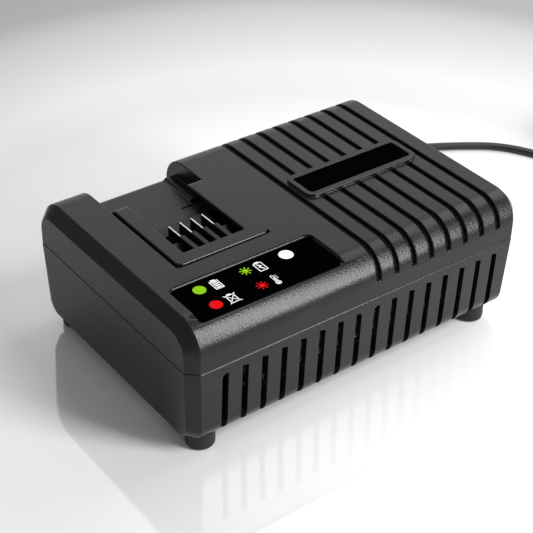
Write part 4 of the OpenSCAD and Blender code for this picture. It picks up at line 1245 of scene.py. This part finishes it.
    def cord(self, path: np.ndarray) -> Piece:
        """Makes the sheath: a flat oval with a shallow furrow between its two cores.

        The oval is a circle whose halves are pushed apart by the tanh of its cosine, and the furrow
        takes a bell curve of the distance from the middle off its height.

        Args:
            path: Points of the cord's centreline, as (n, 3).

        Returns:
            The piece.
        """
        w, h = CORD_WIDTH / MM / 2, CORD_THICKNESS / MM / 2
        depth, reach = self.furrow
        t = np.linspace(0, 2 * math.pi, 20, endpoint=False)
        side = w - h
        x = h * np.cos(t) + side * np.tanh(3 * np.cos(t))
        y = h * np.sin(t) * (1 - depth * np.exp(-(x / reach) ** 2))
        return Skin().rings(carry(np.stack([x, y], 1)[::-1], path)).build("mains_lead", sharp=80)

    def sleeve(self) -> Piece:
        """Makes the strain relief: a drooping taper with ring-shaped slots, from its flange to the cord.

        Its centre runs along +Y and leans down by the droop over the bend; each ring of the profile
        stands at its distance along that line, square to it.

        Returns:
            The piece.
        """
        straight = self.bend_at - self.sleeve_start
        line = np.linspace(0, straight + self.sleeve_length, 400)
        lean = np.radians(self.droop) * np.clip((line - straight + 2.5) / 5.0, 0, 1)
        step = np.diff(line, prepend=0)
        middle, height = self.exit_at
        y = self.sleeve_start + np.cumsum(np.cos(lean) * step)
        z = height - np.cumsum(np.sin(lean) * step)
        collar, end = self.collar_at, line[-1]
        profile = [(2.0, 0.0), (6.3, 0.0), (6.3, 2.0), (4.2, 2.0), (4.2, collar), (4.6, collar),
                   (4.95, collar + 0.35), (4.95, collar + 4.6)]
        for at in np.arange(collar + 5.2, end - 3.4, 3.0):
            r = 4.75 - 0.95 * (at - collar) / (end - collar)
            profile += [(r, at), (r - 0.15, at + 0.12), (r - 0.95, at + 0.2), (r - 0.95, at + 1.15),
                        (r - 0.15, at + 1.25), (r - 0.03, at + 1.4)]
        profile += [(3.8, end - 1.2), (3.7, end - 0.3), (3.4, end), (2.0, end)]
        r, s = np.array(profile).T
        a = np.linspace(0, 2 * math.pi, 40, endpoint=False)
        tilt, wide, tall = np.interp(s, line, lean)[:, None], np.cos(a), np.sin(a)
        rings = np.stack([middle + r[:, None] * wide,
                          np.interp(s, line, y)[:, None] + r[:, None] * tall * np.sin(tilt),
                          np.interp(s, line, z)[:, None] + r[:, None] * tall * np.cos(tilt)], -1)
        return Skin().rings(rings[:, ::-1]).build("lead_sleeve", sharp=50)

    def tie(self) -> Piece:
        """Makes the strap: a band of rounded section bent round the coil's own section.

        Its path is a rounded rectangle round the coil's turns, in the upright plane at the tie's turn.

        Returns:
            The piece.
        """
        inner, outer, low, top = self.tie_reach
        loop = rounded_outline(outer - inner, top - low, self.tie_rounds[0], 6)
        middle = np.array([(inner + outer) / 2, (top + low) / 2])
        a = math.radians(self.tie_turn)
        out = np.array([math.cos(a), math.sin(a), 0])
        path = np.array([self.coil_centre[0], self.coil_centre[1], 0]) + (loop[:, :1] + middle[0]) * out
        path[:, 2] = loop[:, 1] + middle[1]
        section = rounded_outline(*self.tie_band, self.tie_rounds[1], 2)
        along = unit(np.roll(path, -1, 0) - np.roll(path, 1, 0))
        across = np.array([-math.sin(a), math.cos(a), 0])
        normal = np.cross(along, across)
        rings = path[:, None] + section[None, :, :1] * normal[:, None] + section[None, :, 1:] * across
        return Skin().rings(rings, loop=True).build("lead_tie")

    def plug(self) -> Piece:
        """Makes the plug: a rounded body that narrows to the cord, with grip ribs on its sides.

        Each ring is a superellipse: the cosine and sine of a turn, raised to a power with their signs
        kept, times the half width and half height there.

        Returns:
            The piece.
        """
        (x0, x1), half = self.plug_ends, (self.plug_high - self.plug_low) / 2
        x, wide, tall = np.array(self.plug_form).T[:, :, None]
        a = np.linspace(0, 2 * math.pi, 48, endpoint=False)
        c, s = (np.sign(v) * np.abs(v) ** self.plug_power for v in (np.cos(a), np.sin(a)))
        rings = np.stack(np.broadcast_arrays(x0 + (x1 - x0) * x, self.plug_middle + wide * c,
                                             self.plug_low + half + tall * s), -1)
        return Skin().rings(rings).build("lead_plug", sharp=60)

    def pins(self) -> Piece:
        """Makes the two round pins: a profile with a domed tip, turned about X.

        Returns:
            The pins, as one piece.
        """
        skin = Skin()
        r, (root, tip) = self.pin_radius, self.pin_ends
        profile = [(r, root), (r, tip - 2), (r * 0.92, tip - 1), (r * 0.7, tip - 0.3), (r * 0.35, tip - 0.05),
                   (0.1, tip)]
        height = (self.plug_low + self.plug_high) / 2
        for side in (-1, 1):
            skin.turned(profile, (0, self.plug_middle + side * self.pin_apart, height), Axis.X, steps=28)
        return skin.build("plug_pin_pair")


def smoothed(points: np.ndarray, step: float) -> np.ndarray:
    """Points on the Catmull-Rom curve through given ones: a cubic from each to the next.

    At each given point the curve heads the way from the point before to the point after it.

    Args:
        points: The given points, as (n, 3).
        step: About how far apart the points of the curve are.

    Returns:
        The points of the curve, as (m, 3).
    """
    p = np.vstack([2 * points[0] - points[1], points, 2 * points[-1] - points[-2]])
    made = []
    for i in range(1, len(p) - 2):
        n = max(1, round(float(np.linalg.norm(p[i + 1] - p[i])) / step))
        t = (np.arange(n) / n)[:, None]
        made.append(0.5 * (2 * p[i] + (p[i + 1] - p[i - 1]) * t
                           + (2 * p[i - 1] - 5 * p[i] + 4 * p[i + 1] - p[i + 2]) * t ** 2
                           + (3 * p[i] - p[i - 1] - 3 * p[i + 1] + p[i + 2]) * t ** 3))
    return np.vstack([*made, points[-1:]])


@dataclass
class Inside(Assembly):
    """What stands inside the shells and shows through the vents and under the dock."""

    # Finish, slot and CAD nodes of the pieces that keep their solid's shape
    kept: tuple = (
        (Finish.BOARD_LACQUER, Slot.BOARD, "led_board main_board"),
        (Finish.SCREW_STEEL, Slot.SCREW_STEEL, "led_board_screws board_screws heat_sink_screws clamp_screws"),
        (Finish.LAMP_BODY, Slot.LAMP_BODY, "status_led"),
        (Finish.WIRE_RED, Slot.WIRE, "led_lead fan_lead"),
        (Finish.WIRE_SHEATH, Slot.WIRE, "terminal_leads"),
        (Finish.FERRITE, Slot.FERRITE, "transformer_core"),
        (Finish.CHOKE_FERRITE, Slot.FERRITE, "choke_core"),
        (Finish.SPOOL_PLASTIC, Slot.SPOOL, "transformer_bobbin"),
        (Finish.WINDING_WIRE, Slot.WINDING, "transformer_winding"),
        (Finish.CHOKE_WIRE, Slot.WINDING, "choke_winding"),
        (Finish.STATOR_WIRE, Slot.WINDING, "fan_stator"),
        (Finish.CAN_SLEEVE, Slot.CAN_SLEEVE, "bulk_capacitor"),
        (Finish.CAN_SLEEVE_BLUE, Slot.CAN_SLEEVE_BLUE, "output_capacitors"),
        (Finish.FILM_BOX, Slot.FILM_BOX, "filter_capacitor"),
        (Finish.FUSE_GLASS, Slot.FUSE_GLASS, "fuse"),
        (Finish.CLIP_METAL, Slot.BLADE_METAL, "fuse_clips"),
        (Finish.CHIP_PLASTIC, Slot.CHIP_PLASTIC, "bridge_rectifier switch_transistor output_rectifier"),
        (Finish.SINK_METAL, Slot.SINK_METAL, "primary_heat_sink secondary_heat_sink"),
        (Finish.FAN_PLASTIC, Slot.FAN_PLASTIC, "fan_frame fan_rotor"),
        (Finish.CLAMP_PLASTIC, Slot.CHIP_PLASTIC, "cord_clamp"),
        (Finish.CORD_SHEATH, Slot.CORD_SHEATH, "inlet_lead"),
    )

    def build(self) -> None:
        """Dresses the nodes that stay."""
        for finish, slot, nodes in self.kept:
            for node in nodes.split():
                self.keep(node, finish, slot)


@dataclass
class Studio:
    """Floor, lamps and surroundings."""

    floor_half: float = 3.0
    floor_height: float = -0.0004
    lamps: tuple = (
        Softbox("lamp_back", (0.67, 0.88, 0.76), (0.03, 0.02, 0), 1.0, 1.0, 2.5),
        Softbox("lamp_side", (1.0, 0.05, 1.1), (0.05, 0, 0), 0.8, 0.8, 6.0),
        Softbox("lamp_key", (0.56, -1.05, 0.69), (-0.04, -0.06, 0.06), 0.40, 1.4, 29.0),
        Softbox("lamp_low", (0.75, 0.95, 0.13), (0, 0, 0.07), 1.5, 0.18, 0.8),
    )
    ambient: float = 0.35
    # Distance from the middle of the painted pool of light and the floor's tone there
    painted_light_pool: tuple = (
        (0.0, 250), (0.13, 249), (0.18, 234), (0.22, 224), (0.26, 226), (0.35, 195), (0.385, 168),
        (0.43, 163), (0.7, 158))
    middle: tuple = (0.04, 0.008, 0.0)
    # Share of mirror gloss beside the case and past the fade, its roughness, and the case's half sizes
    polish: Pair = (0.2, 0.04)
    fade: float = 0.1
    blur: float = 0.06
    stands: Pair = (0.1, 0.0685)

    def build(self) -> None:
        """Makes the floor, the lamps and the world."""
        for lamp in self.lamps:
            lamp.build()
        self.world()
        self.floor()

    def world(self) -> None:
        """Sets an even grey-white world."""
        world = bpy.data.worlds.new("studio")
        world.use_nodes = True
        inputs = world.node_tree.nodes["Background"].inputs
        inputs["Color"].default_value, inputs["Strength"].default_value = (1, 1, 1, 1), self.ambient
        bpy.context.scene.world = world

    def floor(self) -> None:
        """Makes the floor: a pale polished sheet whose colour is painted with a pool of light, brightest
        round the object.
        """
        h = self.floor_half
        mesh = bpy.data.meshes.new("floor")
        mesh.from_pydata([(-h, -h, 0), (h, -h, 0), (h, h, 0), (-h, h, 0)], [], [(0, 1, 2, 3)])
        floor = bpy.data.objects.new("floor", mesh)
        floor.location.z = self.floor_height
        show(floor)
        r = Recipe("floor_sheet", Roughness=1.0, Specular_IOR_Level=0.0)
        # Painted light: the floor's colour is lighter near the middle and darker with distance, as a pool of
        # light
        far = r.node("VectorMath", {"operation": "DISTANCE"}, i0=r.place(), i1=self.middle, out="Value")
        reach = self.painted_light_pool[-1][0]
        stops = [(at / reach, linear(tone)) for at, tone in self.painted_light_pool]
        base = r.node("ValToRGB", {"stops": stops}, Fac=far / reach)
        r.feed(Base_Color=base)
        polish = r.node("BsdfGlossy", Color=(1, 1, 1, 1), Roughness=self.blur)
        beside, before = (abs(r.axis(i)) - self.stands[i] for i in (Axis.X, Axis.Y))
        away = (beside.math("MAXIMUM", 0.0) ** 2 + before.math("MAXIMUM", 0.0) ** 2) ** 0.5
        share = self.polish[0] + away.ramp(0.0, self.fade) * (self.polish[1] - self.polish[0])
        share = share * r.node("LightPath", out="Is Camera Ray")
        mixed = r.node("MixShader", i0=share, i1=Value(r.tree, r.shader.outputs[0]), i2=polish)
        r.tree.links.new(mixed.socket, r.tree.nodes["Material Output"].inputs["Surface"])
        mesh.materials.append(r.material)


def main() -> None:
    """Builds the view, the lead, the case and what is in it."""
    logging.basicConfig(level=logging.INFO, format="%(name)s %(message)s")
    bpy.context.scene.view_settings.view_transform = "Standard"
    Viewpoint().build()
    finishes = Finishes()
    for assembly in (Lead, Shells, Dock, Panel, Inside):
        assembly(finishes).build()
    Studio().build()


if __name__ == "__main__":
    main()
